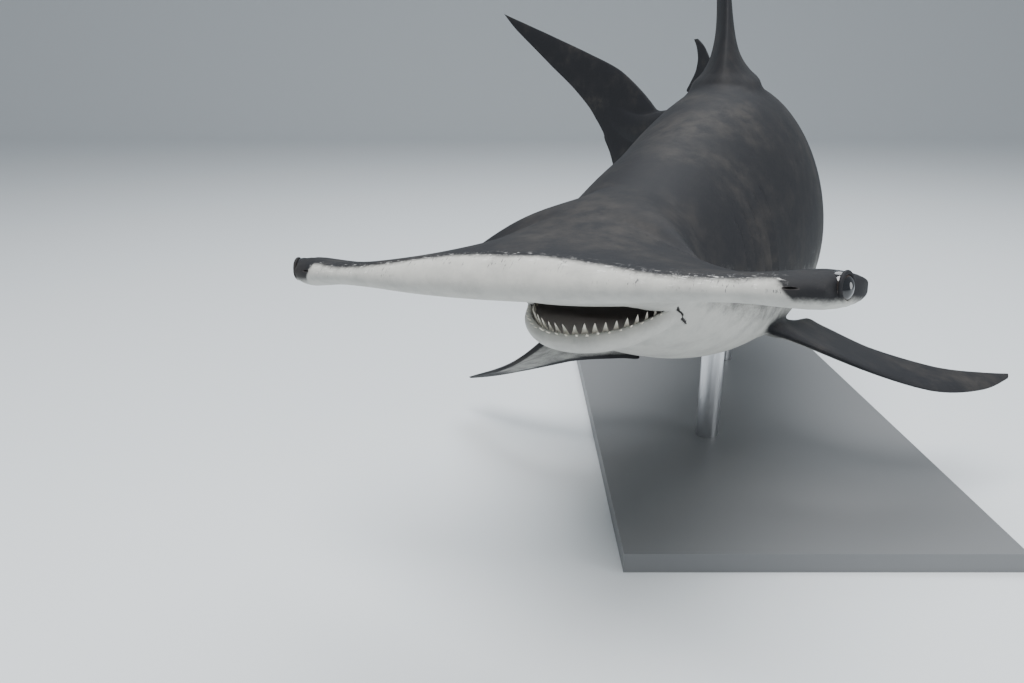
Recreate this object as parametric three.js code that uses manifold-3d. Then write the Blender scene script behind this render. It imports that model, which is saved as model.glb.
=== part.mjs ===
import * as THREE from 'three';
import { mergeVertices } from 'three/addons/utils/BufferGeometryUtils.js';
import Module from 'manifold-3d';

const wasm = await Module();
wasm.setup();

// Great hammerhead shark, Sphyrna mokarran, life size, still pose with the jaw open.
// Lengths are in millimetres and angles in degrees.
// Rest frame before posing: x to the shark's left, s from snout to tail, z up.
const totalLength = 3400;
const percent = totalLength / 100;
const eyeRadius = 18;
const eyeCant = 18;
const eyePlace = { x: 405, s: 86, z: 4 };
const partGap = 0.3;
const rootGap = 0.4;
const jawGape = 21.5;
const jawHinge = { s: 350, z: -43 };
const jawLevel = -41;
const standThickness = 40;
const standLength = 1500;
const standWidth = 760;
const standRodRadius = 27;
const floorDrop = 905;
const standCentre = { x: 590, y: 2080 };

// Pose of the animal: place and turn of the head, then bends along the spine.
// Each bend runs from one share of the total length to another and adds yaw, pitch and roll.
const headPlace = { x: -37, y: 998, z: -255 };
const headTurn = { yaw: 33, pitch: -9.8, roll: 5.9 };
const spineBends = [
  { from: 0.10, to: 0.24, yaw: -3.3, pitch: 12.2, roll: -8.3 },
  { from: 0.22, to: 0.40, yaw: -12.6, pitch: 5.4, roll: 13.3 },
  { from: 0.38, to: 0.56, yaw: -12.9, pitch: -2.8, roll: -8.0 },
  { from: 0.54, to: 0.72, yaw: -38.2, pitch: -11.3, roll: -5.4 },
  { from: 0.70, to: 0.95, yaw: -9.9, pitch: -9.4, roll: -1.2 },
];

// Trunk sections in percent of the total length:
// place, top, bottom, half width, height of the widest line, top power, bottom power.
const trunkSections = [
  [11.8, 4.15, -3.7, 4.6, -0.6, 2.0, 2.2],
  [15.0, 5.7, -4.7, 5.25, -0.8, 1.95, 2.2],
  [19.0, 7.1, -5.6, 5.8, -0.8, 1.9, 2.25],
  [23.0, 8.4, -6.2, 6.3, -0.8, 1.9, 2.3],
  [27.0, 9.0, -6.5, 6.4, -0.8, 1.95, 2.3],
  [31.0, 9.0, -6.6, 6.2, -0.8, 1.95, 2.3],
  [37.0, 8.3, -6.4, 5.7, -0.7, 1.9, 2.2],
  [43.0, 7.2, -5.8, 5.0, -0.5, 1.9, 2.1],
  [49.0, 6.0, -4.8, 4.2, -0.2, 1.9, 2.0],
  [55.0, 4.9, -3.7, 3.4, 0.1, 1.95, 2.0],
  [61.0, 3.8, -2.8, 2.7, 0.3, 2.0, 2.0],
  [66.0, 3.0, -2.0, 2.0, 0.4, 2.0, 2.0],
  [70.5, 2.5, -1.4, 1.5, 0.5, 2.0, 2.0],
  [74.0, 2.5, -1.0, 1.05, 0.7, 2.0, 2.0],
  [77.0, 3.9, -0.1, 0.55, 1.9, 2.0, 2.0],
  [79.5, 5.0, 1.8, 0.2, 3.4, 2.0, 2.0],
];

// Outline of the hammer from above, one row per head section:
// section, centre place, half width, place of the end (millimetres).
const headSections = [
  [0, 14, 398, 58],
  [1, 50, 421, 92],
  [2, 95, 427, 130],
  [3, 140, 421, 165],
  [4, 175, 402, 190],
  [5, 205, 350, 203],
  [6, 232, 270, 212],
  [7, 262, 205, 234],
  [8, 300, 171, 276],
  [9, 345, 159, 330],
  [10, 401, 156, 395],
];
const headTopLine = [[0, 25], [100, 50], [200, 73], [300, 110], [401, 141]];
const headBottomLine = [[0, -24], [100, -31], [200, -40], [300, -60], [401, -126]];
const headMiddleLine = [[0, 0], [260, 0], [401, -20]];
// Half thickness of a wing of the hammer by its distance from the middle.
const wingLine = [[0, 25], [150, 22], [250, 17.5], [315, 18], [360, 23.5], [390, 28], [410, 28.5], [427, 27]];
const wingPower = 5;
const rearThinning = 0.55;
const headRows = [
  0, 0.04, 0.15, 0.35, 0.65, 1, 1.5, 2, 2.6, 3.2, 3.8, 4.4, 5,
  5.6, 6.2, 6.8, 7.4, 8, 8.6, 9.2, 10,
];
const wingShares = [0, 0.11, 0.24, 0.38, 0.53, 0.68, 0.8, 0.89, 0.95, 0.985, 1];

// Smooth curve through rows of a table, the first column being the place.
function along(table, place) {
  const last = table.length - 1;
  let i = 0;
  while (i < last - 1 && place > table[i + 1][0]) {
    i += 1;
  }
  const slope = (k, c) => (table[k + 1][c] - table[k][c]) / (table[k + 1][0] - table[k][0]);
  const tangent = (k, c) => {
    if (k === 0) {
      return slope(0, c);
    }
    if (k === last) {
      return slope(last - 1, c);
    }
    const before = table[k][0] - table[k - 1][0];
    const after = table[k + 1][0] - table[k][0];
    return (slope(k, c) * before + slope(k - 1, c) * after) / (before + after);
  };
  const step = table[i + 1][0] - table[i][0];
  const t = Math.min(1, Math.max(0, (place - table[i][0]) / step));
  const t2 = t * t;
  const t3 = t2 * t;
  const values = [];
  for (let c = 1; c < table[0].length; c += 1) {
    const start = (2 * t3 - 3 * t2 + 1) * table[i][c] + (t3 - 2 * t2 + t) * step * tangent(i, c);
    const end = (3 * t2 - 2 * t3) * table[i + 1][c] + (t3 - t2) * step * tangent(i + 1, c);
    values.push(start + end);
  }
  return values;
}

function smoothStep(t) {
  const u = Math.min(1, Math.max(0, t));
  return u * u * (3 - 2 * u);
}

const mix = (a, b, t) => a + (b - a) * t;
const radians = (angle) => angle * Math.PI / 180;

// Spine: place and directions every few millimetres from the snout to the tail tip.
const spineStep = 8;
const spineStart = -80;
const spine = [];
{
  const count = Math.ceil((totalLength * 1.06 - spineStart) / spineStep);
  const place = new THREE.Vector3();
  let before = null;
  for (let i = 0; i <= count; i += 1) {
    const s = spineStart + i * spineStep;
    let { yaw, pitch, roll } = headTurn;
    for (const bend of spineBends) {
      const share = smoothStep((s / totalLength - bend.from) / (bend.to - bend.from));
      yaw += bend.yaw * share;
      pitch += bend.pitch * share;
      roll += bend.roll * share;
    }
    const y = radians(yaw);
    const p = radians(pitch);
    const r = radians(roll);
    const back = new THREE.Vector3(Math.sin(y) * Math.cos(p), Math.cos(y) * Math.cos(p), Math.sin(p));
    const flatLeft = new THREE.Vector3(Math.cos(y), -Math.sin(y), 0);
    const flatUp = new THREE.Vector3().crossVectors(flatLeft, back);
    const left = flatLeft.clone().multiplyScalar(Math.cos(r)).addScaledVector(flatUp, Math.sin(r));
    const up = flatUp.clone().multiplyScalar(Math.cos(r)).addScaledVector(flatLeft, -Math.sin(r));
    if (before) {
      place.addScaledVector(before, spineStep / 2).addScaledVector(back, spineStep / 2);
    }
    before = back;
    spine.push({ s, place: place.clone(), back, left, up });
  }
  const snout = spine[-spineStart / spineStep].place.clone();
  const shift = new THREE.Vector3(
    headPlace.x - standCentre.x,
    headPlace.y - standCentre.y,
    headPlace.z + floorDrop,
  ).sub(snout);
  for (const row of spine) {
    row.place.add(shift);
  }
}

function spineAt(s) {
  const at = Math.min(spine.length - 1.001, Math.max(0, (s - spineStart) / spineStep));
  const i = Math.floor(at);
  const t = at - i;
  const a = spine[i];
  const b = spine[i + 1];
  return {
    place: a.place.clone().lerp(b.place, t),
    left: a.left.clone().lerp(b.left, t).normalize(),
    up: a.up.clone().lerp(b.up, t).normalize(),
    back: a.back.clone().lerp(b.back, t).normalize(),
  };
}

// Turns a point of the rest frame into the posed part's frame.
function posed(point) {
  const at = spineAt(point.y);
  return at.place.addScaledVector(at.left, point.x).addScaledVector(at.up, point.z);
}

// Closed mesh from numbered points and faces, with coincident points joined.
function meshFrom(points, faces, usePose = true) {
  const positions = [];
  for (const p of points) {
    const q = usePose ? posed(p) : p;
    positions.push(q.x, q.y, q.z);
  }
  let geometry = new THREE.BufferGeometry();
  geometry.setAttribute('position', new THREE.Float32BufferAttribute(positions, 3));
  geometry.setIndex(faces.flat());
  geometry = mergeVertices(geometry, 1e-3);
  return solidFrom(geometry);
}

// Solid for joining and cutting, made outward facing.
function solidFrom(source) {
  let geometry = source.clone();
  geometry.deleteAttribute('normal');
  geometry.deleteAttribute('uv');
  geometry = mergeVertices(geometry, 1e-3);
  const index = geometry.index.array;
  const place = geometry.attributes.position;
  const kept = [];
  let volume = 0;
  const a = new THREE.Vector3();
  const b = new THREE.Vector3();
  const c = new THREE.Vector3();
  for (let i = 0; i < index.length; i += 3) {
    const [i0, i1, i2] = [index[i], index[i + 1], index[i + 2]];
    if (i0 === i1 || i1 === i2 || i2 === i0) {
      continue;
    }
    a.fromBufferAttribute(place, i0);
    b.fromBufferAttribute(place, i1);
    c.fromBufferAttribute(place, i2);
    volume += a.dot(b.cross(c)) / 6;
    kept.push(i0, i1, i2);
  }
  if (volume < 0) {
    for (let i = 0; i < kept.length; i += 3) {
      [kept[i + 1], kept[i + 2]] = [kept[i + 2], kept[i + 1]];
    }
  }
  const mesh = new wasm.Mesh({
    numProp: 3,
    vertProperties: new Float32Array(place.array),
    triVerts: new Uint32Array(kept),
  });
  mesh.merge();
  return new wasm.Manifold(mesh);
}

// Largest closed surface of a solid.
function largest(solid) {
  let best = null;
  for (const piece of solid.decompose()) {
    if (!best || piece.volume() > best.volume()) {
      best = piece;
    }
  }
  return best;
}

// Faces of a sheet of rows and columns; closed says the columns run round.
function sheetFaces(rows, columns, offset, flip, closed) {
  const faces = [];
  const spans = closed ? columns : columns - 1;
  for (let i = 0; i < rows - 1; i += 1) {
    for (let j = 0; j < spans; j += 1) {
      const a = offset + i * columns + j;
      const b = offset + i * columns + (j + 1) % columns;
      const c = a + columns;
      const d = b + columns;
      faces.push(flip ? [a, b, d] : [a, d, b]);
      faces.push(flip ? [a, d, c] : [a, c, d]);
    }
  }
  return faces;
}

// Ring of the body at a head row or a trunk place; grow widens it by a few tenths.
function headRing(row, grow) {
  const [centre, halfWidth, endPlace] = along(headSections, row);
  const blend = smoothStep((row - 5) / 5);
  const widen = smoothStep((row - 6.5) / 3.5);
  const power = mix(wingPower, 2, blend);
  const nose = Math.sqrt(1 - (1 - Math.min(1, row)) ** 2);
  const count = wingShares.length - 1;
  const ring = [];
  for (let j = -2 * count; j < 2 * count; j += 1) {
    const upper = j >= -count && j <= count;
    let k = upper ? j : 2 * count - j;
    if (k > count) {
      k -= 4 * count;
    }
    const share = mix(wingShares[Math.abs(k)], Math.sin(Math.PI / 2 * Math.abs(k) / count), blend);
    const x = Math.sign(k) * share * halfWidth;
    const s = centre + (endPlace - centre) * share ** 2.6;
    const rise = Math.max(0, 1 - share ** power) ** (1 / power) * nose;
    const spread = Math.exp(-((x / mix(158, 800, widen)) ** 2));
    const spreadLow = Math.exp(-((x / mix(138, 800, widen)) ** 2));
    const outer = smoothStep((Math.abs(x) - 150) / 150) * (1 - blend);
    const wing = along(wingLine, Math.abs(x))[0] * (1 - rearThinning * outer * smoothStep((s - 95) / 95));
    const middle = along(headMiddleLine, s)[0];
    const top = wing + (along(headTopLine, s)[0] - wing) * spread;
    const bottom = -wing + (along(headBottomLine, s)[0] + wing) * spreadLow;
    const z = upper ? middle + (top - middle) * rise : middle + (bottom - middle) * rise;
    ring.push(new THREE.Vector3(x + Math.sign(k) * grow * share, s, z + (upper ? grow : -grow) * rise));
  }
  return ring;
}

function trunkRing(place, grow) {
  const [top, bottom, half, middle, topPower, bottomPower] = along(trunkSections, place);
  const count = wingShares.length - 1;
  const ring = [];
  for (let j = -2 * count; j < 2 * count; j += 1) {
    const angle = Math.PI / 2 * j / count;
    const side = Math.sin(angle);
    const high = Math.cos(angle);
    const power = high >= 0 ? topPower : bottomPower;
    const x = (half * percent + grow) * Math.sign(side) * Math.abs(side) ** (2 / power);
    const reach = high >= 0 ? (top - middle) * percent + grow : (middle - bottom) * percent + grow;
    const z = middle * percent + reach * Math.sign(high) * Math.abs(high) ** (2 / power);
    ring.push(new THREE.Vector3(x, place * percent, z));
  }
  return ring;
}

const trunkPlaces = [13.2, 14.6, 16, 17.4, 18.8, 20.2, 22, 24, 26, 28, 30.5, 33, 36, 39, 42, 45, 48,
  51, 54, 56.5, 59, 61.5, 64, 66.5, 69, 71.5, 74, 76, 78, 79.5];

// Head and trunk as one closed body without the lower jaw.
function bodySolid(grow) {
  const rings = [];
  for (const row of headRows) {
    rings.push(headRing(row, grow));
  }
  for (const place of trunkPlaces) {
    rings.push(trunkRing(place, grow));
  }
  const around = rings[0].length;
  const points = rings.flat();
  const faces = sheetFaces(rings.length, around, 0, false, true);
  const tail = points.length;
  const end = trunkPlaces[trunkPlaces.length - 1];
  points.push(new THREE.Vector3(0, end * percent + 4, 3.5 * percent));
  for (let j = 0; j < around; j += 1) {
    const a = (rings.length - 1) * around + j;
    const b = (rings.length - 1) * around + (j + 1) % around;
    faces.push([a, tail, b]);
  }
  return meshFrom(points, faces);
}

// Closed slab from two faces with the same rows and columns; place(u, v, w) has w 0 or 1.
function slabSolid(place, rows, columns) {
  const points = [];
  for (const w of [0, 1]) {
    for (let i = 0; i <= rows; i += 1) {
      for (let j = 0; j <= columns; j += 1) {
        points.push(place(i / rows, j / columns, w));
      }
    }
  }
  const wide = columns + 1;
  const sheet = (rows + 1) * wide;
  const faces = [
    ...sheetFaces(rows + 1, wide, 0, true, false),
    ...sheetFaces(rows + 1, wide, sheet, false, false),
  ];
  const edge = [];
  for (let j = 0; j < columns; j += 1) {
    edge.push(j);
  }
  for (let i = 0; i < rows; i += 1) {
    edge.push(i * wide + columns);
  }
  for (let j = columns; j > 0; j -= 1) {
    edge.push(rows * wide + j);
  }
  for (let i = rows; i > 0; i -= 1) {
    edge.push(i * wide);
  }
  for (let n = 0; n < edge.length; n += 1) {
    const a = edge[n];
    const b = edge[(n + 1) % edge.length];
    faces.push([a, a + sheet, b + sheet]);
    faces.push([a, b + sheet, b]);
  }
  return meshFrom(points, faces);
}

// Round-edged lens: rows of a section carried round an oval plan, from top centre to bottom centre.
function lensSolid(section, planPoint, around) {
  const points = [];
  const inner = section.slice(1, -1);
  for (const [share, height] of inner) {
    for (let j = 0; j < around; j += 1) {
      points.push(planPoint(share, 2 * Math.PI * j / around, height));
    }
  }
  const faces = sheetFaces(inner.length, around, 0, false, true);
  const top = points.length;
  points.push(planPoint(0, 0, section[0][1]));
  points.push(planPoint(0, 0, section[section.length - 1][1]));
  const base = (inner.length - 1) * around;
  for (let j = 0; j < around; j += 1) {
    const next = (j + 1) % around;
    faces.push([top, j, next]);
    faces.push([top + 1, base + next, base + j]);
  }
  return meshFrom(points, faces);
}

// Round bar along a path of rest points, closed at both ends.
function barSolid(path, radiusAt, around) {
  const points = [];
  const tangent = new THREE.Vector3();
  for (let i = 0; i < path.length; i += 1) {
    const a = path[Math.max(0, i - 1)];
    const b = path[Math.min(path.length - 1, i + 1)];
    tangent.subVectors(b, a).normalize();
    const side = new THREE.Vector3(0, 0, 1).cross(tangent).normalize();
    const high = new THREE.Vector3().crossVectors(tangent, side);
    const radius = radiusAt(i / (path.length - 1));
    for (let j = 0; j < around; j += 1) {
      const angle = 2 * Math.PI * j / around;
      points.push(path[i].clone()
        .addScaledVector(side, radius * Math.cos(angle))
        .addScaledVector(high, radius * Math.sin(angle)));
    }
  }
  const faces = sheetFaces(path.length, around, 0, false, true);
  const end = (path.length - 1) * around;
  for (let j = 1; j < around - 1; j += 1) {
    faces.push([0, j, j + 1]);
    faces.push([end, end + j + 1, end + j]);
  }
  return meshFrom(points, faces);
}

// Ellipsoid at a rest point, turned about x, then z, carried with the pose.
function ellipsoidSolid(centre, radii, turn, detail) {
  const source = new THREE.SphereGeometry(1, detail, Math.round(detail * 0.6));
  source.scale(radii.x, radii.y, radii.z);
  source.rotateX(radians(turn.x));
  source.rotateZ(radians(turn.z));
  source.translate(centre.x, centre.y, centre.z);
  return posedGeometry(source);
}

function posedGeometry(source) {
  const geometry = source.clone();
  const place = geometry.attributes.position;
  const point = new THREE.Vector3();
  for (let i = 0; i < place.count; i += 1) {
    point.fromBufferAttribute(place, i);
    const q = posed(point);
    place.setXYZ(i, q.x, q.y, q.z);
  }
  return solidFrom(geometry);
}

// Jaw: an oval bowl hinged at the mouth corner and swung down by the gape.
const jawPlan = { half: 137, front: 170, rear: 110, centre: 375 };
const jawSection = [[0, -17], [0.35, -16], [0.6, -12], [0.76, -7], [0.86, -2], [0.91, 2], [0.95, 2.5],
  [0.98, -1], [1, -8], [0.985, -18], [0.93, -28], [0.8, -40], [0.55, -54], [0.28, -66], [0, -72]];
const cavitySection = [[0, 18], [0.45, 16], [0.75, 10], [0.92, 3], [1, -5],
  [0.96, -16], [0.8, -26], [0.4, -32], [0, -33]];

const jawLipWidth = 12;

function jawPoint(share, angle, height, shrink = 0) {
  const reach = Math.cos(angle) > 0 ? jawPlan.front - shrink : jawPlan.rear - shrink;
  const x = share * (jawPlan.half - shrink) * Math.sin(angle);
  const s = jawPlan.centre - share * reach * Math.cos(angle);
  return new THREE.Vector3(x, s, height + jawLevel);
}

// Swings a point of the closed jaw about the hinge.
function swung(point, share = 1) {
  const swing = radians(jawGape) * share;
  const ds = point.y - jawHinge.s;
  const dz = point.z - jawHinge.z;
  return new THREE.Vector3(
    point.x,
    jawHinge.s + ds * Math.cos(swing) - dz * Math.sin(swing),
    jawHinge.z + ds * Math.sin(swing) + dz * Math.cos(swing),
  );
}

function cavitySolid(shrink) {
  return lensSolid(cavitySection, (share, angle, height) => {
    const point = jawPoint(share, angle, height > 0 ? height - shrink : height + shrink, jawLipWidth + shrink);
    return height > -3 ? point : swung(point, smoothStep((jawHinge.s - point.y) / 90));
  }, 24);
}

// Teeth: slender triangular blades on the inner side of the lip, in two rows.
const toothRows = [
  { share: 0.925, count: 21, width: 12, height: 13, lean: 48 },
  { share: 0.875, count: 20, width: 14.5, height: 18, lean: 8 },
];
const toothSpread = 72;
const toothThickness = 4.5;
const toothRoot = 4;

let seed = 17;
function chance() {
  seed = (seed * 48271) % 2147483647;
  return seed / 2147483647;
}

function toothSolid(row, at) {
  const bend = at * 2 - 1;
  const angle = radians(toothSpread * bend);
  const size = (1 - 0.45 * bend * bend) * (0.9 + 0.2 * chance());
  const foot = jawPoint(row.share, angle, -1.5);
  const out = new THREE.Vector3(Math.sin(angle) * jawPlan.front, -Math.cos(angle) * jawPlan.half, 0);
  out.normalize();
  const side = new THREE.Vector3(-out.y, out.x, 0);
  const lean = radians(row.lean + 14 * (chance() - 0.5));
  const rise = new THREE.Vector3(0, 0, Math.cos(lean)).addScaledVector(out, Math.sin(lean));
  const thick = new THREE.Vector3().crossVectors(side, rise);
  const slant = Math.sign(bend) * 0.16 * row.height;
  const levels = [[-toothRoot, 1, 1], [row.height * 0.4, 0.62, 0.8]];
  const points = [];
  for (const [height, wide, deep] of levels) {
    for (const [a, b] of [[-1, -1], [1, -1], [1, 1], [-1, 1]]) {
      points.push(foot.clone()
        .addScaledVector(rise, height * size)
        .addScaledVector(side, a * wide * row.width * 0.5 * size + slant * Math.max(0, height) / row.height)
        .addScaledVector(thick, b * deep * toothThickness * 0.5 * size));
    }
  }
  points.push(foot.clone().addScaledVector(rise, row.height * size).addScaledVector(side, slant));
  const walls = sheetFaces(2, 4, 0, false, true).map(([a, b, c]) => [a, c, b]);
  const faces = [[0, 2, 1], [0, 3, 2], ...walls];
  for (let j = 0; j < 4; j += 1) {
    faces.push([4 + j, 4 + (j + 1) % 4, 8]);
  }
  return meshFrom(points.map((point) => swung(point)), faces);
}

function jawSolid() {
  let jaw = lensSolid(jawSection, (share, angle, height) => swung(jawPoint(share, angle, height)), 28);
  for (const row of toothRows) {
    for (let i = 0; i < row.count; i += 1) {
      jaw = jaw.add(toothSolid(row, (i + 0.5) / row.count));
    }
  }
  return jaw;
}

// Gill flaps: a raised edge of skin with a slit behind it, five on each side.
const gillCount = 5;
const gillStart = 15.3;
const gillStep = 0.98;
const gillReach = [58, 116];
const gillRise = 7;
const gillSlit = 0.16;

function skinPoint(place, angle, offset) {
  const [top, bottom, half, middle, topPower, bottomPower] = along(trunkSections, place);
  const side = Math.sin(radians(angle));
  const high = Math.cos(radians(angle));
  const power = high >= 0 ? topPower : bottomPower;
  const x = (half * percent + offset) * Math.sign(side) * Math.abs(side) ** (2 / power);
  const reach = high >= 0 ? (top - middle) * percent + offset : (middle - bottom) * percent + offset;
  const z = middle * percent + reach * Math.sign(high) * Math.abs(high) ** (2 / power);
  return new THREE.Vector3(x, place * percent, z);
}

function gillPlace(k, v) {
  return gillStart + gillStep * k - 0.35 * Math.sin(Math.PI * v);
}

function flapSolid(k, side) {
  return slabSolid((u, v, w) => {
    const angle = side * mix(gillReach[0] - 2 * k, gillReach[1] - 4 * k, u);
    const swell = Math.sqrt(Math.max(0, Math.sin(Math.PI * mix(0.04, 0.96, u))));
    const offset = w ? mix(-2, gillRise * swell, v) : -8;
    return skinPoint(gillPlace(k, u) - 0.62 * (1 - v), angle, offset);
  }, 6, 1);
}

function slitSolid(k, side) {
  return slabSolid((u, v, w) => {
    const angle = side * mix(gillReach[0] - 2 * k + 1.5, gillReach[1] - 4 * k - 1.5, u);
    const swell = Math.sqrt(Math.max(0, Math.sin(Math.PI * mix(0.04, 0.96, u))));
    return skinPoint(gillPlace(k, u) + 0.005 + gillSlit * v, angle, w ? 16 : -13 * swell);
  }, 5, 1);
}

// Fins: rows of height, leading edge, trailing edge and thickness, in percent of the total length.
const firstDorsal = {
  place: 26,
  base: 8.95,
  rows: [[-1.6, 0.9, 9.2, 1.5], [0, 0, 10, 1.5], [0.8, 0.6, 12.6, 1.4], [1.6, 1.1, 12.8, 1.3],
    [3, 2, 10.6, 1.2], [5, 3.3, 9.3, 1.05], [8, 5.3, 9.3, 0.85], [11, 7.6, 10.4, 0.65],
    [13.5, 9.9, 11.9, 0.45], [15.2, 12.4, 13.2, 0.2]],
};
const secondDorsal = {
  place: 60,
  base: 3.8,
  rows: [[-1.2, 0.4, 4.6, 0.8], [0, 0, 4.8, 0.8], [0.5, 0.4, 6.6, 0.7], [1.2, 0.9, 6.2, 0.6],
    [2.4, 1.8, 5.3, 0.5], [3.6, 2.8, 5, 0.4], [4.8, 4, 5.3, 0.3], [5.6, 5.2, 5.8, 0.15]],
};
const analFin = {
  place: 59.5,
  base: -2.7,
  rows: [[-1.2, 0.4, 6, 0.8], [0, 0, 6.5, 0.8], [0.5, 0.4, 8.6, 0.7], [1.1, 0.9, 8, 0.6],
    [2, 1.7, 6, 0.5], [3.1, 2.8, 5.6, 0.4], [4.2, 4.3, 6.2, 0.3], [5, 6, 7, 0.15]],
};
const pectoralRows = [[-2.4, 0.4, 5.2, 1.5], [0, 0, 6.2, 1.4], [0.9, 0.2, 9, 1.25], [2, 0.5, 8.5, 1.1],
  [5, 1.6, 7.5, 0.9], [9, 4.2, 8.3, 0.6], [12, 7.8, 9.9, 0.4], [13.4, 10.2, 10.7, 0.2]];
const pectoralRoot = { x: 5.6, s: 20.6, z: -3.6 };
const pectoralTurns = {
  left: { down: 15, twist: 16, sweep: 0.5, wash: 2 },
  right: { down: 38.5, twist: 50, sweep: -18.7, wash: -39 },
};
const pelvicRows = [[-1.6, 0.4, 4.6, 0.9], [0, 0, 5, 0.8], [0.6, 0.3, 6.9, 0.7], [1.4, 0.8, 6.2, 0.6],
  [2.6, 1.8, 5.4, 0.45], [3.8, 3.2, 5.2, 0.3], [4.5, 4.4, 5.2, 0.15]];
const pelvicRoot = { x: 2.4, s: 47, z: -3.9 };
const pelvicTurn = { down: 38, twist: 6, sweep: 0, wash: 0 };
const caudalRoot = { s: 71, z: 2.4 };
const caudalRows = [
  [23.7, 16.7, 23.7, 16.7, 0.15], [21.4, 15.1, 22.0, 14.2, 0.3], [18, 12.7, 19.3, 10.9, 0.45],
  [14.5, 10.3, 16.6, 7.7, 0.55], [10.5, 7.8, 13.8, 4.7, 0.7], [6, 5.2, 11.3, 1.8, 0.9],
  [2.6, 2.5, 9.9, -0.3, 1.15], [0.2, 0.3, 9.1, -1.6, 1.4], [-1.2, -1.7, 8.9, -2.4, 1.5],
  [-0.9, -3.3, 8.1, -4.0, 1.25], [0.6, -5.8, 7.3, -6.6, 0.9], [2.4, -8.6, 6.9, -9.4, 0.6],
  [4.6, -11.6, 6.9, -12.2, 0.4], [7.1, -14.7, 7.1, -14.7, 0.15],
];

// Half thickness of a fin section, share v from the leading to the trailing edge.
function sectionHalf(v) {
  return 1.1 * Math.sqrt(Math.max(0, v)) * (1 - v) ** 0.85 * 1.25;
}

function finPoint(rows, u) {
  const at = Math.min(u * (rows.length - 1), rows.length - 1.0001);
  const k = Math.floor(at);
  const t = at - k;
  return rows[k].map((value, c) => mix(value, rows[k + 1][c], t));
}

const finEdge = 0.6;

// Widening of a fin towards its root: width and height of the fillet.
const dorsalFlare = { width: 88, height: 50 };
const noFlare = { width: 0, height: 50 };

function midFin(fin, downward, flare) {
  return slabSolid((u, v, w) => {
    const [height, lead, trail, thick] = finPoint(fin.rows, u);
    const share = (1 - Math.cos(Math.PI * v)) / 2;
    const fillet = flare.width * Math.exp(-Math.max(0, height) * percent / flare.height);
    const half = finEdge + (thick * percent * 0.5 + fillet) * sectionHalf(share);
    const x = (w ? 1 : -1) * half;
    const s = (fin.place + mix(lead, trail, share)) * percent;
    const z = (fin.base + (downward ? -height : height)) * percent;
    return new THREE.Vector3(x, s, z);
  }, fin.rows.length - 1, 6);
}

// Paired fin from its root place and turns: down from level, twist of the chord, sweep back.
function pairedFin(rows, root, turn, side) {
  const down = radians(turn.down);
  const sweep = radians(turn.sweep);
  const twist = radians(turn.twist);
  const origin = new THREE.Vector3(side * root.x, root.s, root.z).multiplyScalar(percent);
  const span = new THREE.Vector3(
    side * Math.cos(down) * Math.cos(sweep),
    Math.sin(sweep),
    -Math.sin(down) * Math.cos(sweep),
  );
  const level = new THREE.Vector3(-side * Math.sin(sweep), Math.cos(sweep), 0);
  const face = new THREE.Vector3().crossVectors(span, level).normalize();
  if (face.z < 0) {
    face.negate();
  }
  level.addScaledVector(span, -level.dot(span)).normalize();
  const tip = rows[rows.length - 1][0];
  return slabSolid((u, v, w) => {
    const [height, lead, trail, thick] = finPoint(rows, u);
    const turned = twist + radians(turn.wash) * Math.max(0, height / tip);
    const chord = level.clone().multiplyScalar(Math.cos(turned)).addScaledVector(face, -Math.sin(turned));
    const up = new THREE.Vector3().crossVectors(span, chord).multiplyScalar(side);
    const share = (1 - Math.cos(Math.PI * v)) / 2;
    const half = finEdge + thick * percent * 0.5 * sectionHalf(share);
    return origin.clone()
      .addScaledVector(span, height * percent)
      .addScaledVector(chord, mix(lead, trail, share) * percent)
      .addScaledVector(up, (w ? 1 : -1) * half);
  }, rows.length - 1, 6);
}

function caudalFin() {
  return slabSolid((u, v, w) => {
    const [leadS, leadZ, trailS, trailZ, thick] = finPoint(caudalRows, u);
    const share = (1 - Math.cos(Math.PI * v)) / 2;
    const half = finEdge + thick * percent * 0.5 * sectionHalf(share);
    const s = caudalRoot.s + mix(leadS, trailS, share);
    const z = caudalRoot.z + mix(leadZ, trailZ, share);
    return new THREE.Vector3((w ? 1 : -1) * half, s * percent, z * percent);
  }, caudalRows.length - 1, 7);
}

// Thin plate across the spine at a rest place, used as a parting cut.
function crossCut(place, size) {
  const at = spineAt(place);
  const plate = new THREE.BoxGeometry(2 * size, partGap, 2 * size);
  const basis = new THREE.Matrix4().makeBasis(at.left, at.back, at.up);
  plate.applyMatrix4(basis);
  plate.translate(at.place.x, at.place.y, at.place.z);
  return solidFrom(plate);
}

// Thin upright plate in the head frame at a given x, used to part a wing from the head.
function wingCut(x) {
  const plate = new THREE.BoxGeometry(partGap, 240, 200);
  plate.translate(x, 140, 0);
  return posedGeometry(plate);
}

const bodyCuts = [
  { at: 388, size: 300 },
  { at: 20.35 * percent, size: 330 },
  { at: 40 * percent, size: 330 },
  { at: 57 * percent, size: 260 },
  { at: 69 * percent, size: 200 },
];
const bodyNames = ['head', 'gill_section', 'trunk_front', 'trunk_rear', 'tail_front', 'tail_stalk'];
const wingCutPlace = 190;

const sides = [
  { name: 'left', sign: 1 },
  { name: 'right', sign: -1 },
];

function eyeCentre(sign) {
  return new THREE.Vector3(sign * eyePlace.x, eyePlace.s, eyePlace.z);
}

// Eyelid: a ring of skin round the ball, its axis canted forward.
const lid = { radius: 16.2, wide: 2.8, height: 10.2, high: 2.6 };

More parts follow.
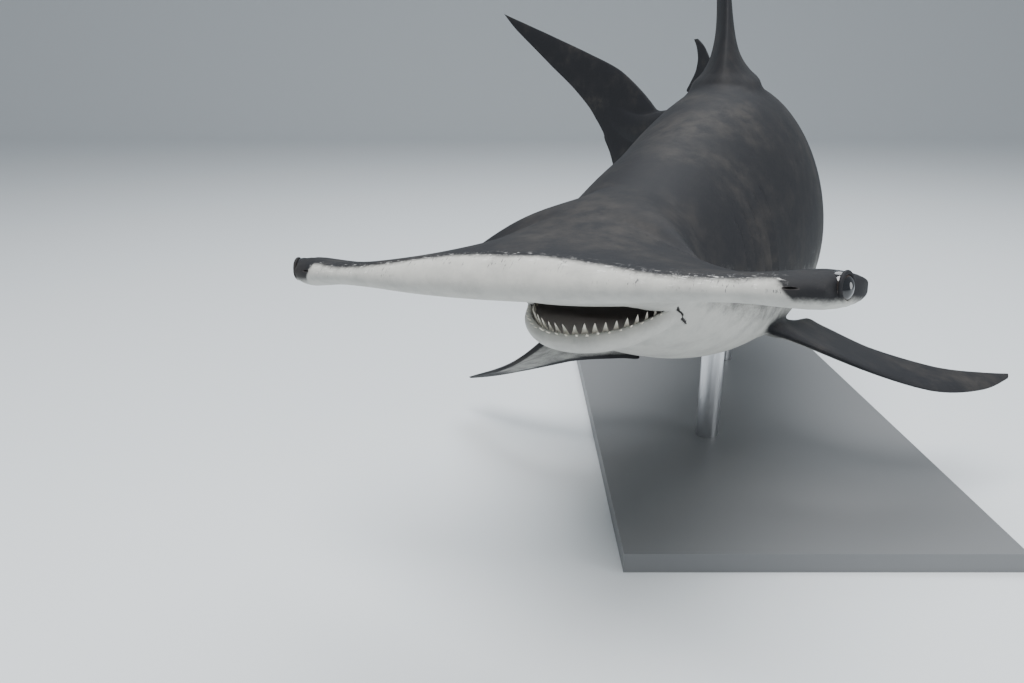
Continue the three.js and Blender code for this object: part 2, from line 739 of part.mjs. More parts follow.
function lidSolid(sign) {
  const profile = [];
  const count = 6;
  for (let i = 0; i <= count; i += 1) {
    const angle = 2 * Math.PI * i / count;
    profile.push(new THREE.Vector2(
      lid.radius + lid.wide * Math.cos(angle),
      lid.height + lid.high * Math.sin(angle),
    ));
  }
  const ring = new THREE.LatheGeometry(profile, 16);
  ring.scale(0.82, 1, 1);
  ring.rotateZ(radians(-90));
  ring.rotateZ(radians(-eyeCant));
  if (sign < 0) {
    ring.scale(-1, 1, 1);
  }
  const centre = eyeCentre(sign);
  ring.translate(centre.x, centre.y, centre.z);
  return posedGeometry(ring);
}

function ballSolid(sign, grow) {
  const source = new THREE.SphereGeometry(1, 16, 9);
  source.scale(eyeRadius * 0.98 + grow, eyeRadius * 0.82 + grow, eyeRadius + grow);
  source.rotateZ(radians(-eyeCant * sign));
  const centre = eyeCentre(sign);
  source.translate(centre.x, centre.y, centre.z);
  return posedGeometry(source);
}

// Slit of the nostril near the end of a wing, and the fold of skin at the corner of the mouth.
const nostril = { x: 366, s: 42, z: 3, turn: 14, size: { x: 10.5, y: 12, z: 2.2 } };
const furrow = { x: 138, s: 370, z: -66, lean: 60, turn: 10, size: { x: 8, y: 2.4, z: 32 } };

function upperLip(grow) {
  const path = [];
  for (let i = 0; i <= 20; i += 1) {
    const angle = radians(mix(-96, 96, i / 20));
    path.push(jawPoint(0.955, angle, 4));
  }
  return barSolid(path, (t) => grow + 7.5 - 3 * Math.abs(2 * t - 1) ** 2, 8);
}

function bodyParts() {
  const flesh = bodySolid(0);
  let body = flesh;
  for (const { sign } of sides) {
    body = body.add(lidSolid(sign));
    for (let k = 0; k < gillCount; k += 1) {
      body = body.add(flapSolid(k, sign));
    }
  }
  body = body.add(upperLip(0)).subtract(cavitySolid(0));
  for (const { sign } of sides) {
    body = body.subtract(ballSolid(sign, partGap));
    const slot = new THREE.Vector3(sign * nostril.x, nostril.s, nostril.z);
    body = body.subtract(ellipsoidSolid(slot, nostril.size, { x: 0, z: sign * nostril.turn }, 14));
    const crease = new THREE.Vector3(sign * furrow.x, furrow.s, furrow.z);
    body = body.subtract(ellipsoidSolid(crease, furrow.size, { x: furrow.lean, z: sign * furrow.turn }, 12));
    for (let k = 0; k < gillCount; k += 1) {
      body = body.subtract(slitSolid(k, sign));
    }
  }
  const parts = new Map();
  let rest = body;
  for (let i = 0; i < bodyCuts.length; i += 1) {
    const { at, size } = bodyCuts[i];
    const pieces = rest.subtract(crossCut(at, size)).decompose();
    const order = pieces.sort((a, b) => b.volume() - a.volume()).slice(0, 2);
    const place = spineAt(at);
    const ahead = order.map((piece) => {
      const box = piece.boundingBox();
      const middle = new THREE.Vector3(...box.min).add(new THREE.Vector3(...box.max)).multiplyScalar(0.5);
      return middle.sub(place.place).dot(place.back);
    });
    const front = ahead[0] < ahead[1] ? 0 : 1;
    parts.set(bodyNames[i], order[front]);
    rest = order[1 - front];
  }
  parts.set(bodyNames[bodyCuts.length], rest);
  let head = parts.get('head');
  for (const { name, sign } of sides) {
    const pieces = head.subtract(wingCut(sign * wingCutPlace)).decompose();
    pieces.sort((a, b) => b.volume() - a.volume());
    head = pieces[0];
    parts.set('hammer_' + name, pieces[1]);
  }
  parts.set('head', head);
  return parts;
}

const colours = {
  back: 0x4a4a4d,
  fin: 0x424347,
  jaw: 0xd8d3c8,
  eye: 0x0c0c0e,
  base: 0x8b8d90,
  rod: 0xb9bcc0,
};
const group = new THREE.Group();
group.name = 'great_hammerhead_shark';

function addNode(name, solid, colour, roughness = 0.6, metalness = 0) {
  const mesh = largest(solid).getMesh();
  let geometry = new THREE.BufferGeometry();
  geometry.setAttribute('position', new THREE.Float32BufferAttribute(mesh.vertProperties, 3));
  geometry.setIndex(Array.from(mesh.triVerts));
  geometry.computeVertexNormals();
  const material = new THREE.MeshStandardMaterial({ color: colour, roughness, metalness });
  const node = new THREE.Mesh(geometry, material);
  node.name = name;
  group.add(node);
}

const wide = bodySolid(rootGap);
const parts = bodyParts();
for (const [name, solid] of parts) {
  addNode(name, solid, colours.back);
}
{
  const throat = wide.subtract(cavitySolid(rootGap)).add(upperLip(rootGap));
  let jaw = jawSolid().subtract(throat);
  for (const shift of [[partGap, 0, 0], [-partGap, 0, 0], [0, 0, partGap], [0, 0, -partGap]]) {
    for (const name of ['head', 'gill_section']) {
      jaw = jaw.subtract(parts.get(name).translate(shift));
    }
  }
  addNode('lower_jaw', jaw, colours.jaw);
}
for (const { name, sign } of sides) {
  addNode('eye_' + name, ballSolid(sign, 0), colours.eye, 0.15);
  const turn = pectoralTurns[name];
  addNode('pectoral_' + name, pairedFin(pectoralRows, pectoralRoot, turn, sign).subtract(wide), colours.fin);
  addNode('pelvic_' + name, pairedFin(pelvicRows, pelvicRoot, pelvicTurn, sign).subtract(wide), colours.fin);
}
addNode('dorsal_first', midFin(firstDorsal, false, dorsalFlare).subtract(wide), colours.fin);
addNode('dorsal_second', midFin(secondDorsal, false, noFlare).subtract(wide), colours.fin);
addNode('anal_fin', midFin(analFin, true, noFlare).subtract(wide), colours.fin);

// Tail fin parted into its lobes along a thin cut from the stalk to the fork.
{
  const fin = caudalFin().subtract(wide);
  const cut = slabSolid((u, v, w) => new THREE.Vector3(
    mix(-60, 60, u),
    (caudalRoot.s + mix(-3, 11, v)) * percent,
    (caudalRoot.z + mix(-2.2, -2.5, v)) * percent + (w ? 0.15 : -0.15),
  ), 1, 8);
  const lobes = fin.subtract(cut).decompose().sort((a, b) => b.volume() - a.volume());
  addNode('caudal_upper', lobes[0], colours.fin);
  addNode('caudal_lower', lobes[1], colours.fin);
}

// Display stand: a flat plate and two upright rods that end just short of the belly.
{
  const plate = new THREE.BoxGeometry(standWidth, standLength, standThickness);
  plate.translate(0, 0, standThickness / 2);
  addNode('stand_base', solidFrom(plate), colours.base, 0.5, 0.2);
  for (const [name, place] of [['front', 0.30], ['rear', 0.475]]) {
    const foot = spineAt(place * totalLength).place;
    const low = standThickness + partGap;
    const height = foot.z - low;
    const rod = new THREE.CylinderGeometry(standRodRadius, standRodRadius, height, 32);
    rod.rotateX(Math.PI / 2);
    rod.translate(foot.x, foot.y, low + height / 2);
    addNode('stand_rod_' + name, solidFrom(rod).subtract(wide), colours.rod, 0.3, 0.8);
  }
}

export default group;
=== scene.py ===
import math

import bpy
import numpy as np
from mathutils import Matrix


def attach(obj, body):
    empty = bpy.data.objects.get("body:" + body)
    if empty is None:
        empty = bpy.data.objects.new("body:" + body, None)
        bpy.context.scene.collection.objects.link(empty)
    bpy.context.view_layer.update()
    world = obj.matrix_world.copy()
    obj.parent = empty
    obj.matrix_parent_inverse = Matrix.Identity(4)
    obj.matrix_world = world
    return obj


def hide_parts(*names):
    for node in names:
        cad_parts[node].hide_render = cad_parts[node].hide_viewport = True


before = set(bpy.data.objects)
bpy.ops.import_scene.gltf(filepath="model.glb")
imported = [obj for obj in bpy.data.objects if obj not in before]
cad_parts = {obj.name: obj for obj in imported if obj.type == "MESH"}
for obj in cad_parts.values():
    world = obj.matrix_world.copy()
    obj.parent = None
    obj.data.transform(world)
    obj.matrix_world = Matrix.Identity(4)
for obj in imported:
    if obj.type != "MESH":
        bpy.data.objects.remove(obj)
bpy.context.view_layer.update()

# Great hammerhead shark, life size and still. Lengths in metres, angles in degrees.
# Rest form: x to the shark's left, s behind the snout, z up. The pose then bends it along its spine.
totalLength = 3.4
percent = totalLength / 100
standCentre = (0.590, 2.080)
floorDrop = 0.905
headPlace = (-0.037, 0.998, -0.255)
headTurn = (33.0, -9.8, 5.9)
spineBends = [
    (0.10, 0.24, -3.3, 12.2, -8.3),
    (0.22, 0.40, -12.6, 5.4, 13.3),
    (0.38, 0.56, -12.9, -2.8, -8.0),
    (0.54, 0.72, -38.2, -11.3, -5.4),
    (0.70, 0.95, -9.9, -9.4, -1.2),
]

# Sections of the trunk in percent of the length: place, top, bottom, half width,
# height of the widest line, top power, bottom power.
trunkSections = np.array([
    [11.8, 4.15, -3.7, 4.6, -0.6, 2.0, 2.2],
    [15.0, 5.7, -4.7, 5.25, -0.8, 1.95, 2.2],
    [19.0, 7.1, -5.6, 5.8, -0.8, 1.9, 2.25],
    [23.0, 8.4, -6.2, 6.3, -0.8, 1.9, 2.3],
    [27.0, 9.0, -6.5, 6.4, -0.8, 1.95, 2.3],
    [31.0, 9.0, -6.6, 6.2, -0.8, 1.95, 2.3],
    [37.0, 8.3, -6.4, 5.7, -0.7, 1.9, 2.2],
    [43.0, 7.2, -5.8, 5.0, -0.5, 1.9, 2.1],
    [49.0, 6.0, -4.8, 4.2, -0.2, 1.9, 2.0],
    [55.0, 4.9, -3.7, 3.4, 0.1, 1.95, 2.0],
    [61.0, 3.8, -2.8, 2.7, 0.3, 2.0, 2.0],
    [66.0, 3.0, -2.0, 2.0, 0.4, 2.0, 2.0],
    [70.5, 2.5, -1.4, 1.5, 0.5, 2.0, 2.0],
    [74.0, 2.5, -1.0, 1.05, 0.7, 2.0, 2.0],
    [77.0, 3.9, -0.1, 0.55, 1.9, 2.0, 2.0],
    [79.5, 5.0, 1.8, 0.2, 3.4, 2.0, 2.0],
])

# Plan of the hammer: section, centre place, half width, place of the end.
headSections = np.array([
    [0, 0.014, 0.398, 0.058],
    [1, 0.050, 0.421, 0.092],
    [2, 0.095, 0.427, 0.130],
    [3, 0.140, 0.421, 0.165],
    [4, 0.175, 0.402, 0.190],
    [5, 0.205, 0.350, 0.203],
    [6, 0.232, 0.270, 0.212],
    [7, 0.262, 0.205, 0.234],
    [8, 0.300, 0.171, 0.276],
    [9, 0.345, 0.159, 0.330],
    [10, 0.401, 0.156, 0.395],
])
headTopLine = np.array([[0, 0.025], [0.100, 0.050], [0.200, 0.073], [0.300, 0.110], [0.401, 0.141]])
headBottomLine = np.array([[0, -0.024], [0.100, -0.031], [0.200, -0.040], [0.300, -0.060], [0.401, -0.126]])
headMiddleLine = np.array([[0, 0], [0.260, 0], [0.401, -0.020]])
# half thickness of a wing of the hammer by its distance from the middle
wingLine = np.array([[0, 25], [150, 22], [250, 17.5], [315, 18], [360, 23.5], [390, 28], [410, 28.5],
                     [427, 27]]) / 1000
wingPower = 5
rearThinning = 0.55


def along(table, place):
    # cubic through the rows: h00 a + h10 m + h01 b + h11 n, tangents from the neighbouring slopes
    at = np.asarray(place, float)
    knots = table[:, 0]
    values = table[:, 1:]
    step = np.diff(knots)
    slope = np.diff(values, axis=0) / step[:, None]
    tangent = np.empty_like(values)
    tangent[0] = slope[0]
    tangent[-1] = slope[-1]
    before = step[:-1, None]
    after = step[1:, None]
    tangent[1:-1] = (slope[1:] * before + slope[:-1] * after) / (before + after)
    i = np.clip(np.searchsorted(knots, at, side="right") - 1, 0, len(knots) - 2)
    t = np.clip((at - knots[i]) / step[i], 0, 1)[..., None]
    span = step[i][..., None]
    start = (2 * t**3 - 3 * t**2 + 1) * values[i] + (t**3 - 2 * t**2 + t) * span * tangent[i]
    end = (3 * t**2 - 2 * t**3) * values[i + 1] + (t**3 - t**2) * span * tangent[i + 1]
    return start + end


def smoothStep(t):
    # 3 t^2 - 2 t^3 with t held between 0 and 1
    u = np.clip(t, 0, 1)
    return u * u * (3 - 2 * u)


def mix(a, b, t):
    # a + (b - a) t
    return a + (b - a) * t


# The spine as arrays over s: place, left and up directions.
spineStep = 0.008
spineStart = -0.080


def buildSpine():
    # angle(s) = head angle + sum of bend * smoothStep; place(s) = integral of the backward direction
    count = math.ceil((totalLength * 1.06 - spineStart) / spineStep) + 1
    s = spineStart + spineStep * np.arange(count)
    angles = np.tile(np.array(headTurn), (count, 1))
    for bend in spineBends:
        share = smoothStep((s / totalLength - bend[0]) / (bend[1] - bend[0]))
        angles = angles + share[:, None] * np.array(bend[2:])
    yaw, pitch, roll = np.radians(angles).T
    back = np.stack([np.sin(yaw) * np.cos(pitch), np.cos(yaw) * np.cos(pitch), np.sin(pitch)], -1)
    flatLeft = np.stack([np.cos(yaw), -np.sin(yaw), 0 * yaw], -1)
    flatUp = np.cross(flatLeft, back)
    cosRoll = np.cos(roll)[:, None]
    sinRoll = np.sin(roll)[:, None]
    left = flatLeft * cosRoll + flatUp * sinRoll
    up = flatUp * cosRoll - flatLeft * sinRoll
    place = np.zeros((count, 3))
    place[1:] = np.cumsum((back[1:] + back[:-1]) / 2 * spineStep, axis=0)
    snout = place[round(-spineStart / spineStep)]
    shift = np.array([
        headPlace[0] - standCentre[0],
        headPlace[1] - standCentre[1],
        headPlace[2] + floorDrop,
    ])
    return s, place - snout + shift, left, up


spineS, spinePlace, spineLeft, spineUp = buildSpine()


def posed(rest):
    # place(s) + x left(s) + z up(s)
    s = rest[:, 1]
    pick = lambda rows: np.stack([np.interp(s, spineS, rows[:, k]) for k in range(3)], -1)
    left = pick(spineLeft)
    up = pick(spineUp)
    left /= np.linalg.norm(left, axis=1)[:, None]
    up /= np.linalg.norm(up, axis=1)[:, None]
    return pick(spinePlace) + rest[:, :1] * left + rest[:, 2:3] * up


def sheetFaces(rows, columns, closed, flip=False):
    # the quads of a grid, point number = row * columns + column
    i, j = np.meshgrid(np.arange(rows - 1), np.arange(columns if closed else columns - 1), indexing="ij")
    a = i * columns + j
    b = i * columns + (j + 1) % columns
    quads = np.stack([a, a + columns, b + columns, b], -1).reshape(-1, 4)
    return quads[:, ::-1] if flip else quads


# Marks that each form carries into the skin: the kind of part, how dark it is, how deep in a hollow (which
# sets the painted shade there).
partKinds = {"body": 0.0, "jaw": 1.0, "lip": 2.0, "fin": 6.0, "hollowShade": 12.0}


def setMark(mesh, name, values):
    layer = mesh.attributes.get(name) or mesh.attributes.new(name, "FLOAT", "POINT")
    layer.data.foreach_set("value", np.asarray(values, np.float32))


def getMark(mesh, name):
    values = np.empty(len(mesh.vertices), np.float32)
    mesh.attributes[name].data.foreach_get("value", values)
    return values


def getPlaces(mesh):
    places = np.empty(len(mesh.vertices) * 3)
    mesh.vertices.foreach_get("co", places)
    return places.reshape(-1, 3)


def edgeEnds(mesh):
    # the two point numbers of every edge
    ends = np.empty(len(mesh.edges) * 2, np.int32)
    mesh.edges.foreach_get("vertices", ends)
    return ends.reshape(-1, 2).T


def neighbourSum(a, b, values, count):
    # sum of the values at the other ends of the edges of each point
    return np.bincount(a, values[b], count) + np.bincount(b, values[a], count)


def shadeSmooth(mesh):
    mesh.polygons.foreach_set("use_smooth", np.ones(len(mesh.polygons), bool))


def makeMesh(name, points, faceLists, kind="body", tone=-3.0, hollowShade=0.0, edge=0.0):
    # points within a tenth of a micrometre of each other become one
    total = len(points)
    points, first, slot = np.unique(np.round(points, 7), axis=0, return_index=True, return_inverse=True)
    slot = slot.reshape(-1)
    mesh = bpy.data.meshes.new(name)
    faces = [row for part in faceLists for row in slot[part].tolist()]
    mesh.from_pydata(points.tolist(), [], faces)
    mesh.update()
    setMark(mesh, "kind", np.full(len(points), partKinds[kind]))
    for mark, values in (("tone", tone), ("hollowShade", hollowShade), ("edge", edge)):
        setMark(mesh, mark, (np.zeros(total) + values)[first])
    piece = bpy.data.objects.new(name, mesh)
    bpy.context.scene.collection.objects.link(piece)
    return piece


# Body: one grid of rings from the leading edge of the hammer to the end of the stalk.
body = {
    "noseRows": 12,
    "headRows": 84,
    "gillRows": 130,
    "trunkRows": 110,
    "flatShares": 20,
    "endRises": 12,
    "notch": 0.006,
}

gills = {
    "count": 5,
    "start": 15.3,
    "step": 0.98,
    "top": 58,
    "bottom": 116,
    "rise": 0.0065,
    "depth": 0.011,
    "flap": 0.62,
    "slit": 0.16,
}


def wingShares():
    # the first shares are even; the last ones follow (1 - r^n)^(1/n) so that the end face is rounded
    n = wingPower
    flat = np.linspace(0, 0.86, body["flatShares"])
    rise = (1 - 0.86**n) ** (1 / n) * np.cos(np.linspace(0, math.pi / 2, body["endRises"] + 1)[1:])
    ends = np.maximum(0, 1 - rise**n) ** (1 / n)
    return np.concatenate([flat, ends]), np.concatenate([(1 - flat**n) ** (1 / n), rise])


def ringSteps():
    # steps j round a ring from under the middle; k = j above and 2 count - j (or its mirror) below
    share, rise = wingShares()
    count = len(share) - 1
    j = np.arange(-2 * count, 2 * count)
    upper = np.abs(j) <= count
    k = np.where(upper, j, np.where(j > 0, 2 * count - j, -2 * count - j))
    return j, k, upper, share, rise, count


def headRings(rows):
    # half height = (1 - share^n)^(1/n) of the centre height spread by exp(-(x / w)^2)
    j, k, upper, shareList, riseList, count = ringSteps()
    table = along(headSections, rows)
    centre = table[:, :1]
    halfWidth = table[:, 1:2]
    endPlace = table[:, 2:3]
    blend = smoothStep((rows - 5) / 5)[:, None]
    widen = smoothStep((rows - 6.5) / 3.5)[:, None]
    power = mix(wingPower, 2, blend)
    nose = np.sqrt(1 - (1 - np.minimum(1, rows)) ** 2)[:, None]
    absK = np.abs(k)
    share = mix(shareList[absK], np.sin(math.pi / 2 * absK / count), blend)
    rise = np.maximum(0, 1 - share**power) ** (1 / power)
    rise = np.where(blend == 0, riseList[absK], rise) * nose
    x = np.sign(k) * share * halfWidth
    s = centre + (endPlace - centre) * share**2.6
    s = s + body["notch"] * np.exp(-((x / 0.035) ** 2)) * (1 - smoothStep(rows / 3))[:, None]
    spread = np.exp(-((x / mix(0.158, 0.800, widen)) ** 2))
    spreadLow = np.exp(-((x / mix(0.138, 0.800, widen)) ** 2))
    outer = smoothStep((np.abs(x) - 0.150) / 0.150) * (1 - blend)
    thinning = rearThinning * outer * smoothStep((s - 0.095) / 0.095)
    wing = along(wingLine, np.abs(x))[..., 0] * (1 - thinning)
    middle = along(headMiddleLine, s)[..., 0]
    top = wing + (along(headTopLine, s)[..., 0] - wing) * spread
    bottom = -wing + (along(headBottomLine, s)[..., 0] + wing) * spreadLow
    z = np.where(upper, middle + (top - middle) * rise, middle + (bottom - middle) * rise)
    return np.stack([x, s, z], -1)


def trunkPoint(place, angle, offset):
    # x = w sgn(sin) |sin|^(2/n), z = m + h sgn(cos) |cos|^(2/n), angle from the top
    table = along(trunkSections, place)
    top, bottom, half, middle, topPower, bottomPower = np.moveaxis(table, -1, 0)
    side = np.sin(angle)
    high = np.cos(angle)
    power = np.where(high >= 0, topPower, bottomPower)
    x = (half * percent + offset) * np.sign(side) * np.abs(side) ** (2 / power)
    reach = np.where(high >= 0, top - middle, middle - bottom) * percent + offset
    z = middle * percent + reach * np.sign(high) * np.abs(high) ** (2 / power)
    return np.stack([x, place * percent + 0 * x, z], -1)


def gillOffset(place, angle):
    # rises to the edge of each flap over its width, then drops into a slit and comes back
    degrees = np.abs(np.degrees(angle))
    offset = np.zeros(np.broadcast(place, degrees).shape)
    slit = np.zeros_like(offset)
    for k in range(gills["count"]):
        v = (degrees - gills["top"] + 2 * k) / (gills["bottom"] - gills["top"] - 2 * k)
        inside = np.clip(np.sin(math.pi * np.clip(v, 0, 1)), 0, 1) ** 0.5
        edge = gills["start"] + gills["step"] * k - 0.35 * np.sin(math.pi * np.clip(v, 0, 1))
        ahead = (edge - place) / gills["flap"]
        behind = (place - edge) / gills["slit"]
        lift = gills["rise"] * smoothStep(1 - ahead) * (ahead > 0)
        drop = gills["depth"] * (1 - smoothStep((behind - 0.7) / 1.6)) * (behind >= 0)
        offset += inside * (lift - drop)
        # slit: the mark that paints shade into each gill slit
        slit = np.maximum(slit, inside * np.exp(-(((behind - 0.4) / 0.7) ** 2)))
    return offset, slit


# Height of the line between dark back and pale belly along the body, and half the width of its fade.
shadeLine = np.array([
    [0.0, 0.006, 0.005],
    [0.14, 0.004, 0.007],
    [0.22, 0.000, 0.011],
    [0.32, -0.006, 0.022],
    [0.50, -0.036, 0.045],
    [0.80, -0.065, 0.060],
    [1.30, -0.090, 0.062],
    [1.80, -0.065, 0.052],
    [2.20, -0.034, 0.038],
    [2.42, -0.036, 0.030],
    [2.56, -0.160, 0.040],
])


# On the hammer the line runs along the top of the leading edge: distance from the middle,
# height and how far behind the leading edge the dark top begins.
edgeLine = np.array([
    [0.0, 0.016, 0.026],
    [0.10, 0.014, 0.022],
    [0.20, 0.010, 0.009],
    [0.30, 0.006, 0.005],
    [0.36, 0.003, 0.002],
    [0.385, -0.006, -0.02],
    [0.43, -0.008, -0.03],
])


def bodyTone(points):
    # (height - line) / width: above 1 fully dark, below -1 fully pale;
    # on the hammer the lesser of that and (distance behind the edge - setback) / width
    wide = np.abs(points[:, 0])
    line = along(shadeLine, points[:, 1])
    tone = (points[:, 2] - line[:, 0]) / line[:, 1]
    edge = along(edgeLine, wide)
    behind = points[:, 1] - 0.014 - 0.044 * np.minimum(1, wide / 0.398) ** 2.6
    onEdge = np.minimum((points[:, 2] - edge[:, 0]) / 0.0030, (behind - edge[:, 1]) / 0.0045)
    share = smoothStep((points[:, 1] - 0.13) / 0.12)
    return np.clip(mix(onEdge, tone, share), -4, 4)


def edgeMark(points, tone):
    # 1 along the line on the leading edge of the hammer, fading over a centimetre or so
    front = 1 - smoothStep((points[:, 1] - 0.07) / 0.05)
    inner = 1 - smoothStep((np.abs(points[:, 0]) - 0.345) / 0.03)
    return inner * front * np.exp(-((tone / 2.6) ** 2)) * (points[:, 2] > -0.004)


def buildBody():
    # rings of the head, then of the trunk; the places lie closer together along the gills
    nose = 1 - np.cos(np.linspace(0, math.pi / 2, body["noseRows"] + 1))
    head = headRings(np.concatenate([nose, np.linspace(1, 10, body["headRows"])[1:]]))
    j, k, upper, share, rise, count = ringSteps()
    angle = (math.pi / 2 * j / count)[None, :]
    ahead = np.linspace(11.9, 14.2, 14)
    gillPlaces = np.linspace(14.3, 19.9, body["gillRows"])
    behind = np.linspace(20.1, 79.5, body["trunkRows"])
    places = np.concatenate([ahead, gillPlaces, behind])[:, None]
    offset, slit = gillOffset(places, angle)
    trunk = trunkPoint(places + 0 * angle, angle + 0 * places, offset)
    rings = np.concatenate([head, trunk])
    rows, columns = rings.shape[:2]
    points = np.concatenate([rings.reshape(-1, 3), [[0, 79.5 * percent + 0.004, 3.5 * percent]]])
    last = (rows - 1) * columns + np.arange(columns)
    cap = np.stack([last, np.full(columns, rows * columns), np.roll(last, -1)], -1)
    hollowShade = np.zeros(len(points))
    # the slit mark becomes the hollow mark, a painted shade in the gill slits
    start = head.shape[0] * columns
    hollowShade[start:start + slit.size] = slit.reshape(-1)
    tone = bodyTone(points)
    return makeMesh("bodyForm", points, [sheetFaces(rows, columns, True), cap],
                    tone=tone, hollowShade=hollowShade, edge=edgeMark(points, tone))


# Jaw: an oval bowl swung down about its hinge, and the hollow of the mouth above it.
jaw = {
    "half": 0.137,
    "front": 0.170,
    "rear": 0.110,
    "centre": 0.375,
    "level": -0.041,
    "gape": 21.5,
    "hinge": (0.350, -0.043),
    "around": 132,
    "section": np.array([[0, -17], [0.35, -16], [0.6, -12], [0.76, -7], [0.86, -2], [0.91, 2], [0.95, 2.5],
                         [0.98, -1], [1, -8], [0.985, -18], [0.93, -28], [0.8, -40], [0.55, -54],
                         [0.28, -66], [0, -72]]) * (1, 0.001),
    "cavity": np.array([[0, 18], [0.45, 16], [0.75, 10], [0.92, 3], [1, -5],
                        [0.96, -16], [0.8, -26], [0.4, -32], [0, -33]]) * (1, 0.001),
    "inset": 0.012,
}


def jawPoint(share, angle, height, inset=0.0):
    # an oval: half the width at the sides, longer in front of its centre than behind
    reach = np.where(np.cos(angle) > 0, jaw["front"], jaw["rear"]) - inset
    x = share * (jaw["half"] - inset) * np.sin(angle)
    s = jaw["centre"] - share * reach * np.cos(angle)
    return np.stack([x, s, height + jaw["level"] + 0 * x], -1)


def swung(points, share=1.0):
    # a turn by the gape about the hinge line
    swing = np.radians(jaw["gape"]) * share
    ds = points[..., 1] - jaw["hinge"][0]
    dz = points[..., 2] - jaw["hinge"][1]
    s = jaw["hinge"][0] + ds * np.cos(swing) - dz * np.sin(swing)
    z = jaw["hinge"][1] + ds * np.sin(swing) + dz * np.cos(swing)
    return np.stack([points[..., 0], s, z], -1)


def resample(section, count):
    # smooth curve through the points by their running number
    table = np.column_stack([np.arange(len(section)), section])
    return along(table, np.linspace(0, len(section) - 1, count))


def lens(name, section, around, place, kind, hollowShade):
    # the section (share, height) turned about the upright axis, closed at both ends
    inner = section[1:-1]
    angle = 2 * math.pi * np.arange(around) / around
    grid = place(inner[:, :1], angle[None, :], inner[:, 1:])
    ends = np.stack([place(np.zeros(1), np.zeros(1), section[i, 1:])[0] for i in (0, -1)])
    points = np.concatenate([grid.reshape(-1, 3), ends])
    rows = len(inner)
    ring = np.arange(around)
    after = np.roll(ring, -1)
    top = np.stack([np.full(around, rows * around), ring, after], -1)
    base = (rows - 1) * around
    bottom = np.stack([np.full(around, rows * around + 1), base + after, base + ring], -1)
    marks = np.concatenate([np.repeat(hollowShade(inner), around), hollowShade(section[[0, -1]])])
    return makeMesh(name, points, [sheetFaces(rows, around, True), top, bottom], kind, hollowShade=marks)


def buildJaw():
    # the floor of the mouth is marked as hollow up to the inner side of the lip: painted shade where the
    # mark rises, the mouth's own colour where it is full
    section = resample(jaw["section"], 56)
    inside = lambda rows: 2 * smoothStep((0.93 - rows[:, 0]) / 0.05) * (rows[:, 1] > -0.0175)
    return lens("jawForm", section, jaw["around"],
                lambda share, angle, height: swung(jawPoint(share, angle, height)), "jaw", inside)


def buildCavity():
    # the same oval less an inset; only what lies before the hinge and low swings with the jaw
    def place(share, angle, height):
        point = jawPoint(share, angle, height, jaw["inset"])
        turn = smoothStep((jaw["hinge"][0] - point[..., 1]) / 0.09) * (height <= -0.003)
        return swung(point, turn)
    return lens("mouthHollow", jaw["cavity"], 72, place, "hollowShade", lambda rows: np.full(len(rows), 2.0))


def bar(name, path, radius, around):
    # circles of the radius round the path, each square to it
    tangent = np.gradient(path, axis=0)
    tangent /= np.linalg.norm(tangent, axis=1)[:, None]
    side = np.cross([0, 0, 1.0], tangent)
    side /= np.linalg.norm(side, axis=1)[:, None]
    high = np.cross(tangent, side)
    angle = 2 * math.pi * np.arange(around) / around
    grid = path[:, None] + radius[:, None, None] * (
        side[:, None] * np.cos(angle)[None, :, None] + high[:, None] * np.sin(angle)[None, :, None])
    rows = len(path)
    points = np.concatenate([grid.reshape(-1, 3), path[:1], path[-1:]])
    ring = np.arange(around)
    after = np.roll(ring, -1)
    first = np.stack([np.full(around, rows * around), ring, after], -1)
    last = np.stack([np.full(around, rows * around + 1), (rows - 1) * around + after,
                     (rows - 1) * around + ring], -1)
    return makeMesh(name, points, [sheetFaces(rows, around, True), first, last], "lip")


def buildUpperLip():
    # radius = 7.5 mm less 3 mm times the square of the distance from the middle
    t = np.linspace(0, 1, 70)
    path = jawPoint(0.955, np.radians(mix(-96, 96, t)), 0.004)
    radius = 0.0075 - 0.003 * np.abs(2 * t - 1) ** 2
    return bar("upperLipForm", path, radius, 16)


